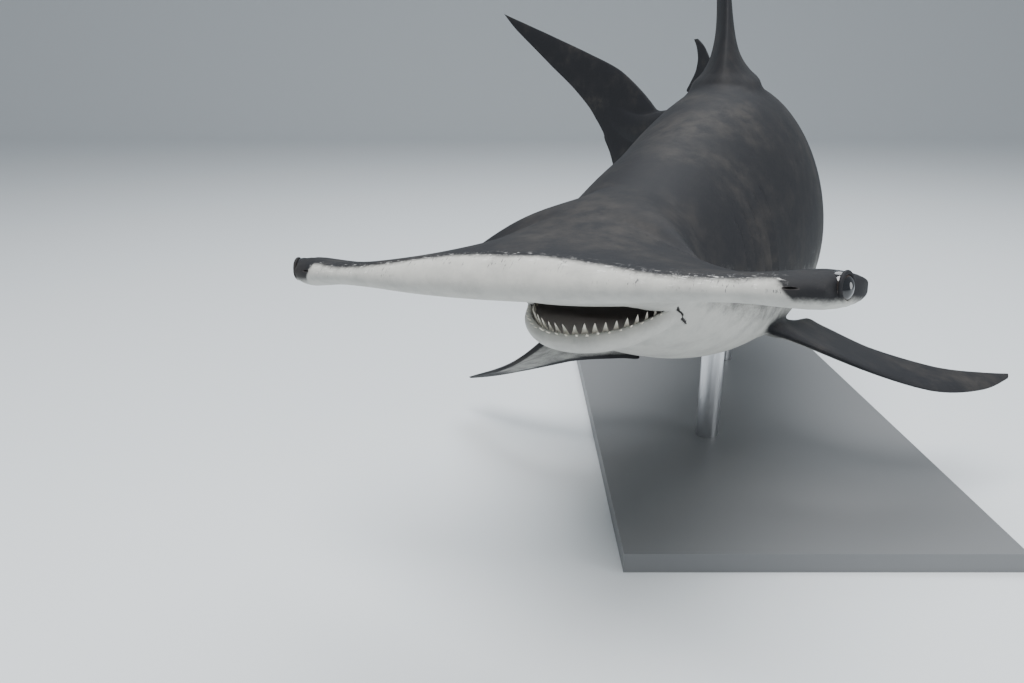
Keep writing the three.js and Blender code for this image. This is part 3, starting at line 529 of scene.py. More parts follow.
# Fins: rows of height, leading edge, trailing edge and thickness, in percent of the length.
fins = {
    "rows": 64,
    "columns": 22,
    "edge": 0.0006,
    "flare": 0.9,
    "filletHeight": 0.05,
    "firstDorsal": {"place": 26, "base": 8.95, "fillet": 0.088, "rows": np.array([
        [-1.6, 0.9, 9.2, 1.5], [0, 0, 10, 1.5], [0.8, 0.6, 12.6, 1.4], [1.6, 1.1, 12.8, 1.3],
        [3, 2, 10.6, 1.2], [5, 3.3, 9.3, 1.05], [8, 5.3, 9.3, 0.85], [11, 7.6, 10.4, 0.65],
        [13.5, 9.9, 11.9, 0.45], [15.2, 12.4, 13.2, 0.2]])},
    "secondDorsal": {"place": 60, "base": 3.8, "fillet": 0, "rows": np.array([
        [-1.2, 0.4, 4.6, 0.8], [0, 0, 4.8, 0.8], [0.5, 0.4, 6.6, 0.7], [1.2, 0.9, 6.2, 0.6],
        [2.4, 1.8, 5.3, 0.5], [3.6, 2.8, 5, 0.4], [4.8, 4, 5.3, 0.3], [5.6, 5.2, 5.8, 0.15]])},
    "anal": {"place": 59.5, "base": -2.7, "fillet": 0, "rows": np.array([
        [-1.2, 0.4, 6, 0.8], [0, 0, 6.5, 0.8], [0.5, 0.4, 8.6, 0.7], [1.1, 0.9, 8, 0.6],
        [2, 1.7, 6, 0.5], [3.1, 2.8, 5.6, 0.4], [4.2, 4.3, 6.2, 0.3], [5, 6, 7, 0.15]])},
    "pectoral": np.array([
        [-2.4, 0.4, 5.2, 1.5], [0, 0, 6.2, 1.4], [0.9, 0.2, 9, 1.25], [2, 0.5, 8.5, 1.1],
        [5, 1.6, 7.5, 0.9], [9, 4.2, 8.3, 0.6], [12, 7.8, 9.9, 0.4], [13.4, 10.2, 10.7, 0.2]]),
    "pectoralRoot": (5.6, 20.6, -3.6),
    "pectoralLeft": (15, 16, 0.5, 2),
    "pectoralRight": (38.5, 50, -18.7, -39),
    "pelvic": np.array([
        [-1.6, 0.4, 4.6, 0.9], [0, 0, 5, 0.8], [0.6, 0.3, 6.9, 0.7], [1.4, 0.8, 6.2, 0.6],
        [2.6, 1.8, 5.4, 0.45], [3.8, 3.2, 5.2, 0.3], [4.5, 4.4, 5.2, 0.15]]),
    "pelvicRoot": (2.4, 47, -3.9),
    "pelvicTurn": (38, 6, 0, 0),
    "caudalRoot": (71, 2.4),
    "caudal": np.array([
        [23.7, 16.7, 23.7, 16.7, 0.15], [21.4, 15.1, 22.0, 14.2, 0.3], [18, 12.7, 19.3, 10.9, 0.45],
        [14.5, 10.3, 16.6, 7.7, 0.55], [10.5, 7.8, 13.8, 4.7, 0.7], [6, 5.2, 11.3, 1.8, 0.9],
        [2.6, 2.5, 9.9, -0.3, 1.15], [0.2, 0.3, 9.1, -1.6, 1.4], [-1.2, -1.7, 8.9, -2.4, 1.5],
        [-0.9, -3.3, 8.1, -4.0, 1.25], [0.6, -5.8, 7.3, -6.6, 0.9], [2.4, -8.6, 6.9, -9.4, 0.6],
        [4.6, -11.6, 6.9, -12.2, 0.4], [7.1, -14.7, 7.1, -14.7, 0.15]]),
}


def finRows(rows, count):
    # gentle curve through the rows, kept inside them near the tip
    table = np.column_stack([np.arange(len(rows)), rows])
    at = np.linspace(0, len(rows) - 1, count)
    curved = along(table, at)
    straight = np.stack([np.interp(at, np.arange(len(rows)), rows[:, c]) for c in range(rows.shape[1])], -1)
    return mix(straight, curved, 0.75)


def finSection(share):
    # 1.1 sqrt(v) (1 - v)^0.85 1.25 of half the thickness, v from the leading edge
    return 1.1 * np.sqrt(share) * (1 - share) ** 0.85 * 1.25


def slab(name, faces, tones):
    # two like sheets joined by a strip round their edge
    rows, columns = faces[0].shape[:2]
    points = np.concatenate([faces[0].reshape(-1, 3), faces[1].reshape(-1, 3)])
    sheet = rows * columns
    index = np.arange(sheet).reshape(rows, columns)
    edge = np.concatenate([index[0, :-1], index[:-1, -1], index[-1, :0:-1], index[:0:-1, 0]])
    after = np.roll(edge, -1)
    strip = np.stack([edge, edge + sheet, after + sheet, after], -1)
    low = sheetFaces(rows, columns, False)
    high = sheetFaces(rows, columns, False, True) + sheet
    tone = np.concatenate([(tones[k] + np.zeros((rows, columns))).reshape(-1) for k in (0, 1)])
    return makeMesh(name, points, [low[:, ::-1], high[:, ::-1], strip], "fin", tone)


def chordShares():
    # (1 - cos(pi t)) / 2, close together at both edges
    return (1 - np.cos(math.pi * np.linspace(0, 1, fins["columns"]))) / 2


def buildMidFin(name, fin, down):
    # half = edge + (thickness / 2 * flare + fillet) * section, the last two fading with height
    row = finRows(fin["rows"], fins["rows"])
    share = chordShares()[None, :]
    height, lead, trail, thick = [row[:, c:c + 1] for c in range(4)]
    flare = 1 + fins["flare"] * np.exp(-np.maximum(height, 0) / 0.35) * (height > -0.9)
    fillet = fin["fillet"] * np.exp(-np.maximum(height, 0) * percent / fins["filletHeight"])
    half = fins["edge"] + (thick * percent * 0.5 * flare + fillet) * finSection(share)
    s = (fin["place"] + mix(lead, trail, share)) * percent
    z = (fin["base"] + (-height if down else height)) * percent + 0 * s
    return slab(name, [np.stack([side * half, s, z], -1) for side in (-1, 1)], (3.0, 3.0))


def buildPairedFin(name, rows, root, turn, side):
    # span and chord directions from the turns: down, twist and sweep
    down, twist, sweep, wash = np.radians(turn)
    outward = math.cos(sweep)
    span = np.array([side * math.cos(down) * outward, math.sin(sweep), -math.sin(down) * outward])
    level = np.array([-side * math.sin(sweep), math.cos(sweep), 0])
    face = np.cross(span, level)
    face /= np.linalg.norm(face)
    face *= np.sign(face[2])
    level = level - span * level.dot(span)
    level /= np.linalg.norm(level)
    row = finRows(rows, fins["rows"])
    share = chordShares()[None, :]
    height, lead, trail, thick = [row[:, c:c + 1] for c in range(4)]
    reach = height / rows[-1, 0]
    turned = twist + wash * np.maximum(0, reach)
    chord = level * np.cos(turned) - face * np.sin(turned)
    up = side * np.cross(span, chord)
    flare = 1 + 0.5 * np.exp(-np.maximum(height, 0) / 0.5)
    half = fins["edge"] + thick * percent * 0.5 * finSection(share) * flare
    origin = np.array([side * root[0], root[1], root[2]]) * percent
    middle = origin + (height * percent)[..., None] * span
    middle = middle + (mix(lead, trail, share) * percent)[..., None] * chord[:, None]
    margin = np.maximum(smoothStep((share - 0.80) / 0.2), smoothStep((0.10 - share) / 0.1))
    under = -0.4 + 2.9 * np.maximum(margin, smoothStep((reach - 0.62) / 0.3))
    return slab(name, [middle + (w * half)[..., None] * up[:, None] for w in (-1, 1)], (under, 3.0))


def buildCaudal(name):
    # each row runs straight from a leading point to a trailing point
    row = finRows(fins["caudal"], 110)
    share = chordShares()[None, :]
    leadS, leadZ, trailS, trailZ, thick = [row[:, c:c + 1] for c in range(5)]
    half = fins["edge"] + thick * percent * 0.5 * finSection(share)
    s = (fins["caudalRoot"][0] + mix(leadS, trailS, share)) * percent
    z = (fins["caudalRoot"][1] + mix(leadZ, trailZ, share)) * percent
    return slab(name, [np.stack([side * half, s, z], -1) for side in (-1, 1)], (3.0, 3.0))


# Eyes: a dark ball set in a ring of skin at each tip of the hammer.
eye = {
    "place": (0.405, 0.086, 0.004),
    "ball": np.array([0.01764, 0.01476, 0.0180]),
    "socket": 0.0003,
    "cant": 18,
    "lidRadius": 0.0162,
    "lidHeight": 0.0102,
    "lidWide": 0.0028,
    "lidHigh": 0.0026,
    "lookRadius": 0.0165,
    "toneFrom": 0.350,
    "toneFade": 0.016,
    "toneLine": -0.010,
    "toneWidth": 0.005,
}

# Small hollows cut into the skin: place, half sizes, turn about x and about z.
nostril = {"place": (0.366, 0.042, 0.003), "size": (0.0105, 0.012, 0.0022), "turnX": 0, "turnZ": 14}
mouthFold = {"place": (0.133, 0.358, -0.064), "size": (0.0125, 0.0012, 0.050), "turnX": 66, "turnZ": 0}


def eyeTurn(points, side):
    # the eye's own axis is x; turned forward by the cant and mirrored for the right side
    cant = math.radians(-eye["cant"])
    x = points[..., 0] * math.cos(cant) - points[..., 1] * math.sin(cant)
    y = points[..., 0] * math.sin(cant) + points[..., 1] * math.cos(cant)
    turned = np.stack([x + eye["place"][0], y + eye["place"][1], points[..., 2] + eye["place"][2]], -1)
    turned[..., 0] *= side
    return turned


def ballGrid(name, radii, side, rows=48, columns=64):
    # x = cos p, y = sin p cos q, z = sin p sin q on the ball
    p = np.linspace(0, math.pi, rows)[1:-1, None]
    q = (2 * math.pi * np.arange(columns) / columns)[None, :]
    grid = np.stack([np.cos(p) + 0 * q, np.sin(p) * np.cos(q), np.sin(p) * np.sin(q)], -1) * radii
    ends = np.array([[radii[0], 0, 0], [-radii[0], 0, 0]])
    local = np.concatenate([grid.reshape(-1, 3), ends])
    ring = np.arange(columns)
    after = np.roll(ring, -1)
    count = (rows - 2) * columns
    base = count - columns
    quads = sheetFaces(rows - 2, columns, True)
    first = np.stack([np.full(columns, count), ring, after], -1)
    last = np.stack([np.full(columns, count + 1), base + after, base + ring], -1)
    parts = [quads, first, last]
    if side < 0:
        parts = [part[:, ::-1] for part in parts]
    # the hollow mark of 0.5 gives the eye sockets a light painted shade; the balls of the eyes carry it
    # unread
    return makeMesh(name, eyeTurn(local, side), parts, "hollowShade", hollowShade=0.5)


def lidGrid(name, side, rows=72, columns=18):
    # a ring: radius r + w cos a round the eye's axis, height h + k sin a along it
    q = (2 * math.pi * np.arange(rows + 1) / rows)[:, None]
    a = (2 * math.pi * np.arange(columns) / columns)[None, :]
    radius = eye["lidRadius"] + eye["lidWide"] * np.cos(a)
    height = eye["lidHeight"] + eye["lidHigh"] * np.sin(a) + 0 * q
    grid = np.stack([height, 0.82 * radius * np.cos(q), radius * np.sin(q)], -1)[:-1]
    tone = (1.6 + 2.0 * np.sin(q[:-1]) + 0 * a).reshape(-1)
    index = np.arange(rows * columns).reshape(rows, columns)
    nextRow = np.roll(index, -1, 0)
    quads = np.stack([index, np.roll(index, -1, 1), np.roll(nextRow, -1, 1), nextRow], -1).reshape(-1, 4)
    if side < 0:
        quads = quads[:, ::-1]
    return makeMesh(name, eyeTurn(grid.reshape(-1, 3), side), [quads], "lip", tone)


def ellipsoid(name, centre, radii, turnX, turnZ):
    # x = a sin p cos q, y = b sin p sin q, z = c cos p, then turned about x and about z
    p = np.linspace(0, math.pi, 26)[1:-1, None]
    q = (2 * math.pi * np.arange(36) / 36)[None, :]
    grid = np.stack([np.sin(p) * np.cos(q), np.sin(p) * np.sin(q), np.cos(p) + 0 * q], -1) * radii
    local = np.concatenate([grid.reshape(-1, 3), [[0, 0, radii[2]], [0, 0, -radii[2]]]])
    a = math.radians(turnX)
    b = math.radians(turnZ)
    y = local[:, 1] * math.cos(a) - local[:, 2] * math.sin(a)
    z = local[:, 1] * math.sin(a) + local[:, 2] * math.cos(a)
    x = local[:, 0] * math.cos(b) - y * math.sin(b)
    y = local[:, 0] * math.sin(b) + y * math.cos(b)
    points = np.stack([x, y, z], -1) + centre
    ring = np.arange(36)
    after = np.roll(ring, -1)
    count = 24 * 36
    first = np.stack([np.full(36, count), ring, after], -1)
    last = np.stack([np.full(36, count + 1), count - 36 + after, count - 36 + ring], -1)
    # the hollow mark of 1 paints shade into the nostrils and the mouth furrows
    return makeMesh(name, points, [sheetFaces(24, 36, True), first, last], "hollowShade", hollowShade=1.0)


def faceOutward(piece):
    # signed volume = sum a . (b x c) / 6; the faces are turned over if it is negative
    mesh = piece.data
    mesh.calc_loop_triangles()
    corners = np.empty(len(mesh.loop_triangles) * 3, np.int32)
    mesh.loop_triangles.foreach_get("vertices", corners)
    tri = getPlaces(mesh)[corners.reshape(-1, 3)]
    if np.einsum("ij,ij->", tri[:, 0], np.cross(tri[:, 1], tri[:, 2])) < 0:
        mesh.flip_normals()
    return piece


def joinSkin(base, added, removed):
    # base + added forms - hollows, as one closed mesh
    steps = [(piece, "UNION") for piece in added] + [(piece, "DIFFERENCE") for piece in removed]
    for tool, operation in steps:
        faceOutward(tool)
        step = base.modifiers.new(tool.name, "BOOLEAN")
        step.operation = operation
        step.solver = "MANIFOLD"
        step.object = tool
    graph = bpy.context.evaluated_depsgraph_get()
    mesh = bpy.data.meshes.new_from_object(base.evaluated_get(graph))
    for piece in [base] + added + removed:
        bpy.data.objects.remove(piece)
    return mesh


print("stage: body and fins")
bodyForm = faceOutward(buildBody())
added = [
    buildJaw(),
    buildUpperLip(),
    buildMidFin("firstDorsalForm", fins["firstDorsal"], False),
    buildMidFin("secondDorsalForm", fins["secondDorsal"], False),
    buildMidFin("analForm", fins["anal"], True),
    buildPairedFin("pectoralLeftForm", fins["pectoral"], fins["pectoralRoot"], fins["pectoralLeft"], 1),
    buildPairedFin("pectoralRightForm", fins["pectoral"], fins["pectoralRoot"], fins["pectoralRight"], -1),
    buildPairedFin("pelvicLeftForm", fins["pelvic"], fins["pelvicRoot"], fins["pelvicTurn"], 1),
    buildPairedFin("pelvicRightForm", fins["pelvic"], fins["pelvicRoot"], fins["pelvicTurn"], -1),
    buildCaudal("caudalForm"),
    lidGrid("lidLeftForm", 1),
    lidGrid("lidRightForm", -1),
]
removed = [
    buildCavity(),
    ballGrid("socketLeft", eye["ball"] + eye["socket"], 1),
    ballGrid("socketRight", eye["ball"] + eye["socket"], -1),
]
for side in (1, -1):
    for name, form in (("nostrilHollow%d", nostril), ("furrowHollow%d", mouthFold)):
        middle = np.array(form["place"]) * (side, 1, 1)
        removed.append(ellipsoid(name % side, middle, form["size"], form["turnX"], side * form["turnZ"]))
skinMesh = joinSkin(bodyForm, added, removed)
print("skin vertices", len(skinMesh.vertices), "faces", len(skinMesh.polygons))


def smoothJoins(mesh, rounds=14):
    # marks the points where a fin or lip meets the body, spreads the mark over a few edges,
    # then moves each marked point towards the mean of its neighbours by its mark
    a, b = edgeEnds(mesh)
    kind = getMark(mesh, "kind")
    count = len(kind)
    crossing = (np.abs(kind[a] - kind[b]) > 0.5) & (np.maximum(kind[a], kind[b]) < 11)
    mark = np.zeros(count)
    mark[a[crossing]] = 1
    mark[b[crossing]] = 1
    for _ in range(7):
        spread = mark.copy()
        np.maximum.at(spread, a, mark[b] * 0.82)
        np.maximum.at(spread, b, mark[a] * 0.82)
        mark = spread
    mark[kind > 11] = 0
    places = getPlaces(mesh)
    degree = np.bincount(a, minlength=count) + np.bincount(b, minlength=count)
    for _ in range(rounds):
        total = np.stack([neighbourSum(a, b, places[:, c], count) for c in range(3)], -1)
        places = places + 0.5 * mark[:, None] * (total / np.maximum(degree, 1)[:, None] - places)
    mesh.vertices.foreach_set("co", places.reshape(-1))
    for name in ("tone", "edge"):
        values = getMark(mesh, name)
        for _ in range(2 * rounds):
            total = neighbourSum(a, b, values, count)
            values = values + 0.6 * mark * (total / np.maximum(degree, 1) - values)
        setMark(mesh, name, values)


def finishSkin(mesh):
    # keeps the unbent place as a mark for the patterns, then bends every point along the spine
    rest = getPlaces(mesh)
    layer = mesh.attributes.new("rest", "FLOAT_VECTOR", "POINT")
    layer.data.foreach_set("vector", rest.astype(np.float32).reshape(-1))
    mesh.vertices.foreach_set("co", posed(rest).reshape(-1))
    shadeSmooth(mesh)
    mesh.set_sharp_from_angle(angle=math.radians(50))
    mesh.update()


def repairMarks(mesh):
    # points made by the cuts carry no marks; each takes the mean of its marked neighbours
    a, b = edgeEnds(mesh)
    marks = {name: getMark(mesh, name) for name in ("kind", "tone", "hollowShade", "edge")}
    bare = (marks["kind"] == 0) & (marks["tone"] == 0)
    count = len(bare)
    print("points without marks", int(bare.sum()))
    for _ in range(4):
        good = ~bare
        weight = neighbourSum(a, b, good, count)
        fill = bare & (weight > 0)
        for name, values in marks.items():
            total = neighbourSum(a, b, values * good, count)
            values[fill] = (total / np.maximum(weight, 1))[fill]
        bare = bare & ~fill
    # round the eyes the tone is (height - line) / width, so the lid and the wing end match
    places = getPlaces(mesh)
    near = smoothStep((np.abs(places[:, 0]) - eye["toneFrom"]) / eye["toneFade"])
    near = near * (1 - smoothStep((places[:, 1] - 0.2) / 0.05))
    byHeight = np.clip((places[:, 2] - eye["toneLine"]) / eye["toneWidth"], -4, 4)
    marks["tone"] = mix(marks["tone"], byHeight, near)
    marks["edge"] = marks["edge"] * (1 - near)
    for name, values in marks.items():
        setMark(mesh, name, values)


repairMarks(skinMesh)
smoothJoins(skinMesh)
finishSkin(skinMesh)
skin = bpy.data.objects.new("skin", skinMesh)
bpy.context.scene.collection.objects.link(skin)


# Teeth: slender triangular blades in two rows on the inner side of the lower lip.
teeth = {
    "rows": [
        {"share": 0.925, "count": 21, "width": 0.012, "height": 0.013, "lean": 48},
        {"share": 0.875, "count": 20, "width": 0.0145, "height": 0.018, "lean": 8},
    ],
    "spread": 72,
    "thickness": 0.0045,
    "root": 0.004,
    "seed": 17,
}


def buildTeeth():
    # each level is an oval of 12 points, narrowing as (1 - t)^0.8 to a slanted tip
    chance = np.random.default_rng(teeth["seed"])
    levels = np.linspace(0, 1, 9)
    q = 2 * math.pi * np.arange(12) / 12
    points = []
    faces = []
    start = 0
    for row in teeth["rows"]:
        for i in range(row["count"]):
            bend = 2 * (i + 0.5) / row["count"] - 1
            angle = np.radians(teeth["spread"] * bend)
            size = (1 - 0.45 * bend * bend) * (0.9 + 0.2 * chance.random())
            foot = jawPoint(row["share"], angle, -0.0015)
            out = np.array([math.sin(angle) * jaw["front"], -math.cos(angle) * jaw["half"], 0])
            out /= np.linalg.norm(out)
            sideways = np.array([-out[1], out[0], 0])
            lean = np.radians(row["lean"] + 14 * (chance.random() - 0.5))
            rise = np.array([0, 0, math.cos(lean)]) + out * math.sin(lean)
            thick = np.cross(sideways, rise)
            slant = np.sign(bend) * 0.16 * row["height"]
            narrow = np.maximum(1 - levels, 0.03) ** 0.8
            height = mix(-teeth["root"], row["height"], levels) * size
            wide = 0.5 * row["width"] * size * narrow * (1 - 0.12 * np.sin(math.pi * levels))
            deep = 0.5 * teeth["thickness"] * size * narrow**0.6
            middle = foot + height[:, None] * rise + (slant * levels**1.5)[:, None] * sideways
            ring = middle[:, None] + (wide[:, None] * np.cos(q))[..., None] * sideways
            ring = ring + (deep[:, None] * np.sin(q))[..., None] * thick
            points += [ring.reshape(-1, 3), middle[:1], middle[-1:] + 0.0004 * rise]
            around = np.arange(12)
            after = np.roll(around, -1)
            count = len(levels) * 12
            base = start + count
            faces += [sheetFaces(len(levels), 12, True) + start,
                      np.stack([np.full(12, base), start + around, start + after], -1),
                      np.stack([np.full(12, base + 1), base - 12 + after, base - 12 + around], -1)]
            start += count + 2
    piece = makeMesh("teethLower", posed(swung(np.concatenate(points))), faces)
    shadeSmooth(piece.data)
    return faceOutward(piece)


print("stage: teeth and eyes")
teethLower = buildTeeth()


def buildEye(side):
    # the ball of the eye; the mark "look" is the distance from its axis, 0 at the pupil
    piece = ballGrid("eyeBallLeft" if side > 0 else "eyeBallRight", eye["ball"], side, 64, 96)
    mesh = piece.data
    rest = getPlaces(mesh)
    axis = np.array([side * math.cos(math.radians(eye["cant"])), -math.sin(math.radians(eye["cant"])), 0])
    local = rest - np.array([side * eye["place"][0], eye["place"][1], eye["place"][2]])
    along0 = local @ axis
    away = np.linalg.norm(local - along0[:, None] * axis, axis=1)
    setMark(mesh, "look", np.where(along0 > 0, away / eye["lookRadius"], 1.5))
    mesh.vertices.foreach_set("co", posed(rest).reshape(-1))
    shadeSmooth(mesh)
    return faceOutward(piece)


eyeBalls = {side: buildEye(side) for side in (1, -1)}


# Materials, all from marks of the pieces' own and from patterns in the unbent place.
def newMaterial(name, roughness, specular=0.5):
    material = bpy.data.materials.new(name)
    material.use_nodes = True
    shader = material.node_tree.nodes["Principled BSDF"]
    shader.inputs["Roughness"].default_value = roughness
    shader.inputs["Specular IOR Level"].default_value = specular
    return material, material.node_tree, shader


def mathNode(tree, operation, a, b=0.0, c=0.0, clamp=False):
    node = tree.nodes.new("ShaderNodeMath")
    node.operation = operation
    node.use_clamp = clamp
    for slot, value in zip(node.inputs, (a, b, c)):
        if isinstance(value, (int, float)):
            slot.default_value = value
        else:
            tree.links.new(value, slot)
    return node.outputs[0]


def mixColour(tree, share, a, b):
    node = tree.nodes.new("ShaderNodeMix")
    node.data_type = "RGBA"
    for slot, value in ((node.inputs[0], share), (node.inputs[6], a), (node.inputs[7], b)):
        if isinstance(value, (int, float, tuple)):
            slot.default_value = value
        else:
            tree.links.new(value, slot)
    return node.outputs[2]


def noiseAt(tree, place, scale, detail=4.0, roughness=0.55):
    node = tree.nodes.new("ShaderNodeTexNoise")
    node.inputs["Scale"].default_value = scale
    node.inputs["Detail"].default_value = detail
    node.inputs["Roughness"].default_value = roughness
    tree.links.new(place, node.inputs["Vector"])
    return node.outputs["Fac"]


def stretched(tree, place, scale):
    node = tree.nodes.new("ShaderNodeMapping")
    node.inputs["Scale"].default_value = scale
    tree.links.new(place, node.inputs["Vector"])
    return node.outputs[0]


def markNode(tree, name, vector=False):
    node = tree.nodes.new("ShaderNodeAttribute")
    node.attribute_name = name
    return node.outputs["Vector" if vector else "Fac"]


def rampNode(tree, value, low, high):
    node = tree.nodes.new("ShaderNodeMapRange")
    node.interpolation_type = "SMOOTHSTEP"
    node.inputs["From Min"].default_value = low
    node.inputs["From Max"].default_value = high
    tree.links.new(value, node.inputs["Value"])
    return node.outputs[0]


skinColours = {
    "back": (0.014, 0.0145, 0.017, 1),
    "backLight": (0.038, 0.035, 0.033, 1),
    "belly": (0.50, 0.495, 0.46, 1),
    "bellyShade": (0.33, 0.325, 0.31, 1),
    # painted shade: the dark colour put into the hollows, where shade falls
    "hollowShade": (0.045, 0.042, 0.042, 1),
    "mouth": (0.50, 0.47, 0.45, 1),
    "scuff": (0.74, 0.73, 0.71, 1),
    "scratch": (0.10, 0.10, 0.105, 1),
}


def skinMaterial():
    # dark above and pale below, the line between broken up by soft noise
    material, tree, shader = newMaterial("sharkSkin", 0.66, 0.20)
    rest = markNode(tree, "rest", True)
    tone = markNode(tree, "tone")
    hollowShade = markNode(tree, "hollowShade")
    broad = noiseAt(tree, rest, 5.5, 5, 0.6)
    patch = noiseAt(tree, rest, 26, 6, 0.65)
    fine = noiseAt(tree, rest, 260, 5, 0.7)
    wander = mathNode(tree, "MULTIPLY_ADD", patch, 2.2, -1.1)
    wander = mathNode(tree, "MULTIPLY_ADD", fine, 1.2, mathNode(tree, "SUBTRACT", wander, 0.6))
    dark = rampNode(tree, mathNode(tree, "ADD", tone, wander), -1.3, 1.0)
    mottle = mathNode(tree, "MULTIPLY", rampNode(tree, broad, 0.42, 0.66), rampNode(tree, patch, 0.3, 0.7))
    speck = rampNode(tree, fine, 0.56, 0.74)
    lighten = mathNode(tree, "MULTIPLY_ADD", speck, 0.45, mottle, clamp=True)
    back = mixColour(tree, lighten, skinColours["back"], skinColours["backLight"])
    bellyTone = mathNode(tree, "MULTIPLY", rampNode(tree, patch, 0.35, 0.75), 0.55)
    belly = mixColour(tree, bellyTone, skinColours["belly"], skinColours["bellyShade"])
    colour = mixColour(tree, dark, belly, back)
    # pale scuffs and short dark scratches along the leading edge of the hammer
    edge = markNode(tree, "edge")
    rub = noiseAt(tree, stretched(tree, rest, (90, 260, 380)), 1.0, 5, 0.7)
    scuff = mathNode(tree, "MULTIPLY", rampNode(tree, rub, 0.56, 0.66), rampNode(tree, edge, 0.15, 0.8))
    colour = mixColour(tree, mathNode(tree, "MULTIPLY", scuff, 0.6), colour, skinColours["scuff"])
    nick = noiseAt(tree, stretched(tree, rest, (420, 60, 130)), 1.0, 3, 0.5)
    patchy = rampNode(tree, noiseAt(tree, rest, 34, 2, 0.5), 0.44, 0.56)
    scratch = mathNode(tree, "MULTIPLY", rampNode(tree, nick, 0.60, 0.66), patchy)
    scratch = mathNode(tree, "MULTIPLY", scratch, rampNode(tree, edge, 0.02, 0.35))
    colour = mixColour(tree, mathNode(tree, "MULTIPLY", scratch, 0.8), colour, skinColours["scratch"])
    # painted shade: gill slits, nostrils, mouth furrows and eye sockets are darkened by how deep in a
    # hollow they lie; inside the mouth the mouth's own colour then covers it
    depth = rampNode(tree, hollowShade, 0.25, 0.9)
    colour = mixColour(tree, depth, colour, skinColours["hollowShade"])
    colour = mixColour(tree, rampNode(tree, hollowShade, 1.2, 1.8), colour, skinColours["mouth"])
    tree.links.new(colour, shader.inputs["Base Color"])
    bumpFine = tree.nodes.new("ShaderNodeBump")
    bumpFine.inputs["Strength"].default_value = 0.22
    bumpFine.inputs["Distance"].default_value = 0.0008
    tree.links.new(noiseAt(tree, rest, 620, 3, 0.6), bumpFine.inputs["Height"])
    bumpBroad = tree.nodes.new("ShaderNodeBump")
    bumpBroad.inputs["Strength"].default_value = 0.25
    bumpBroad.inputs["Distance"].default_value = 0.004
    tree.links.new(noiseAt(tree, rest, 42, 4, 0.55), bumpBroad.inputs["Height"])
    tree.links.new(bumpFine.outputs[0], bumpBroad.inputs["Normal"])
    tree.links.new(bumpBroad.outputs[0], shader.inputs["Normal"])
    return material


def plainMaterial(name, colour, roughness, metallic=0.0, specular=0.5):
    material, tree, shader = newMaterial(name, roughness, specular)
    shader.inputs["Base Color"].default_value = colour
    shader.inputs["Metallic"].default_value = metallic
    return material


def eyeMaterial():
    # black pupil, brown ring round it, darker rim towards the lid
    material, tree, shader = newMaterial("sharkEye", 0.08, 0.6)
    shader.inputs["Coat Weight"].default_value = 0.6
    shader.inputs["Coat Roughness"].default_value = 0.03
    look = markNode(tree, "look")
    pupil = (0.004, 0.005, 0.007, 1)
    ring = mixColour(tree, rampNode(tree, look, 0.70, 0.78), pupil, (0.026, 0.015, 0.009, 1))
    colour = mixColour(tree, rampNode(tree, look, 0.82, 0.92), ring, (0.012, 0.012, 0.014, 1))
    tree.links.new(colour, shader.inputs["Base Color"])
    return material


print("stage: materials")
skinFinish = skinMaterial()
toothFinish = plainMaterial("tooth", (0.78, 0.74, 0.64, 1), 0.25)
eyeFinish = eyeMaterial()
baseFinish = plainMaterial("standPaint", (0.16, 0.165, 0.17, 1), 0.45)
rodFinish = plainMaterial("standSteel", (0.62, 0.63, 0.65, 1), 0.28, 1.0)


def dress(piece, finish, nodes=()):
    # gives the material and the body, and hides the nodes that the piece stands in for
    piece.data.materials.clear()
    piece.data.materials.append(finish)
    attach(piece, "root")
    if nodes:
        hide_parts(*nodes)


fleshNodes = ["head", "hammer_left", "hammer_right", "gill_section", "trunk_front", "trunk_rear",
              "tail_front", "tail_stalk", "lower_jaw", "pectoral_left", "pectoral_right", "pelvic_left",
              "pelvic_right", "dorsal_first", "dorsal_second", "anal_fin", "caudal_upper", "caudal_lower"]
dress(skin, skinFinish, fleshNodes)
dress(teethLower, toothFinish)
dress(eyeBalls[1], eyeFinish, ["eye_left"])
dress(eyeBalls[-1], eyeFinish, ["eye_right"])
standFinishes = {"stand_base": baseFinish, "stand_rod_front": rodFinish, "stand_rod_rear": rodFinish}
for name, finish in standFinishes.items():
    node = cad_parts[name]
    node.data.materials.clear()
    node.data.materials.append(finish)


# Stage: pale floor and wall in one sweep, soft lights, camera at the photo's angle.
print("stage: floor, lights and camera")


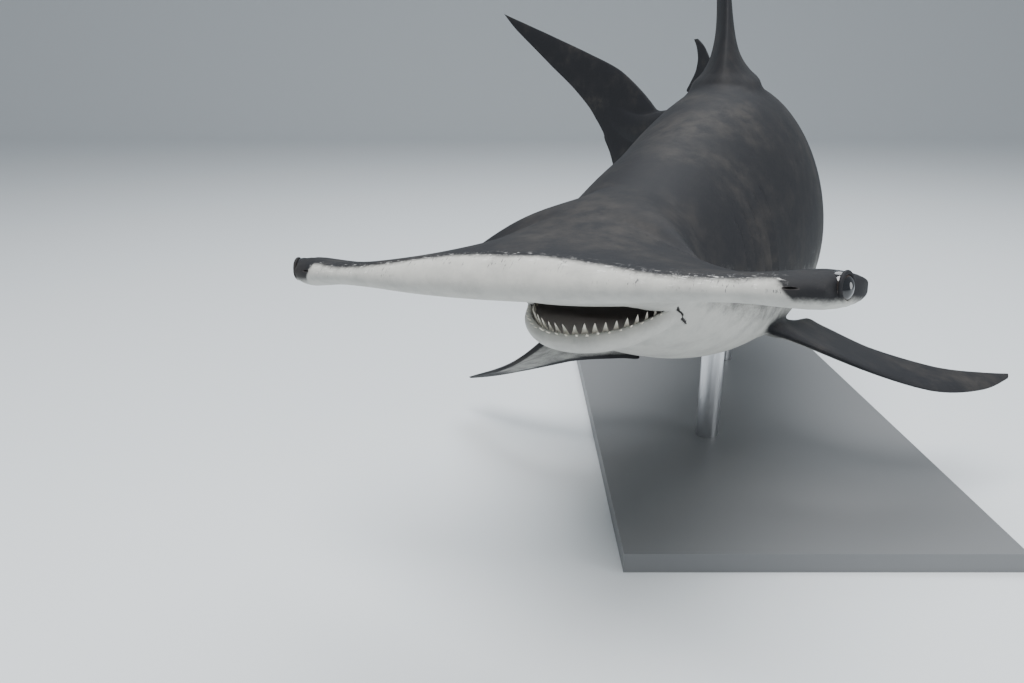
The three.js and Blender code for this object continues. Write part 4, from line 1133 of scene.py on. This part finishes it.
def buildFloor():
    # flat floor that curves up into a wall far behind
    run = np.linspace(0, 1, 40)
    y = np.concatenate([np.linspace(-9, 9, 20), 9 + 4 * np.sin(run[1:] * math.pi / 2), np.full(6, 13.0)])
    z = np.concatenate([np.zeros(20), 4 - 4 * np.cos(run[1:] * math.pi / 2), np.linspace(4.5, 9, 6)])
    x = np.array([-14.0, 14.0])
    grid = np.stack(np.broadcast_arrays(x[None, :], y[:, None], z[:, None]), -1)
    floor = makeMesh("studioFloor", grid.reshape(-1, 3), [sheetFaces(len(y), 2, False, True)])
    shadeSmooth(floor.data)
    floor.data.materials.append(plainMaterial("studioPaper", (0.72, 0.75, 0.77, 1), 0.9, 0, 0.2))
    return floor


def addLight(name, place, target, size, power, colour=(1, 1, 1)):
    # tilt = atan2(flat distance, drop), turn = atan2(y, x) less a quarter turn
    data = bpy.data.lights.new(name, "AREA")
    data.shape = "DISK"
    data.size = size
    data.energy = power
    data.color = colour
    lamp = bpy.data.objects.new(name, data)
    bpy.context.scene.collection.objects.link(lamp)
    lamp.location = place
    away = np.array(target, float) - np.array(place, float)
    flat = math.hypot(away[0], away[1])
    lamp.rotation_euler = (math.atan2(flat, -away[2]), 0, math.atan2(away[1], away[0]) - math.pi / 2)
    return lamp


buildFloor()
addLight("keyLight", (-1.2, -2.6, 4.6), (0, 0, 0.6), 3.0, 300)
addLight("skyLight", (0.5, 1.5, 5.5), (0, 0.4, 0.6), 4.5, 260, (0.93, 0.97, 1))
addLight("fillLight", (3.6, -2.4, 1.4), (0, -0.4, 0.5), 2.5, 70, (0.95, 0.98, 1))
world = bpy.data.worlds.new("studioWorld")
world.use_nodes = True
world.node_tree.nodes["Background"].inputs[0].default_value = (0.80, 0.86, 0.92, 1)
world.node_tree.nodes["Background"].inputs[1].default_value = 0.45
bpy.context.scene.world = world

photo = {"width": 1024, "focal": 820, "down": 18.5}
cameraData = bpy.data.cameras.new("photoCamera")
cameraData.sensor_width = 36
cameraData.lens = photo["focal"] / photo["width"] * 36
camera = bpy.data.objects.new("photoCamera", cameraData)
bpy.context.scene.collection.objects.link(camera)
camera.location = (-standCentre[0], -standCentre[1], floorDrop)
camera.rotation_euler = (math.radians(90 - photo["down"]), 0, 0)
bpy.context.scene.camera = camera

print("stage: done")
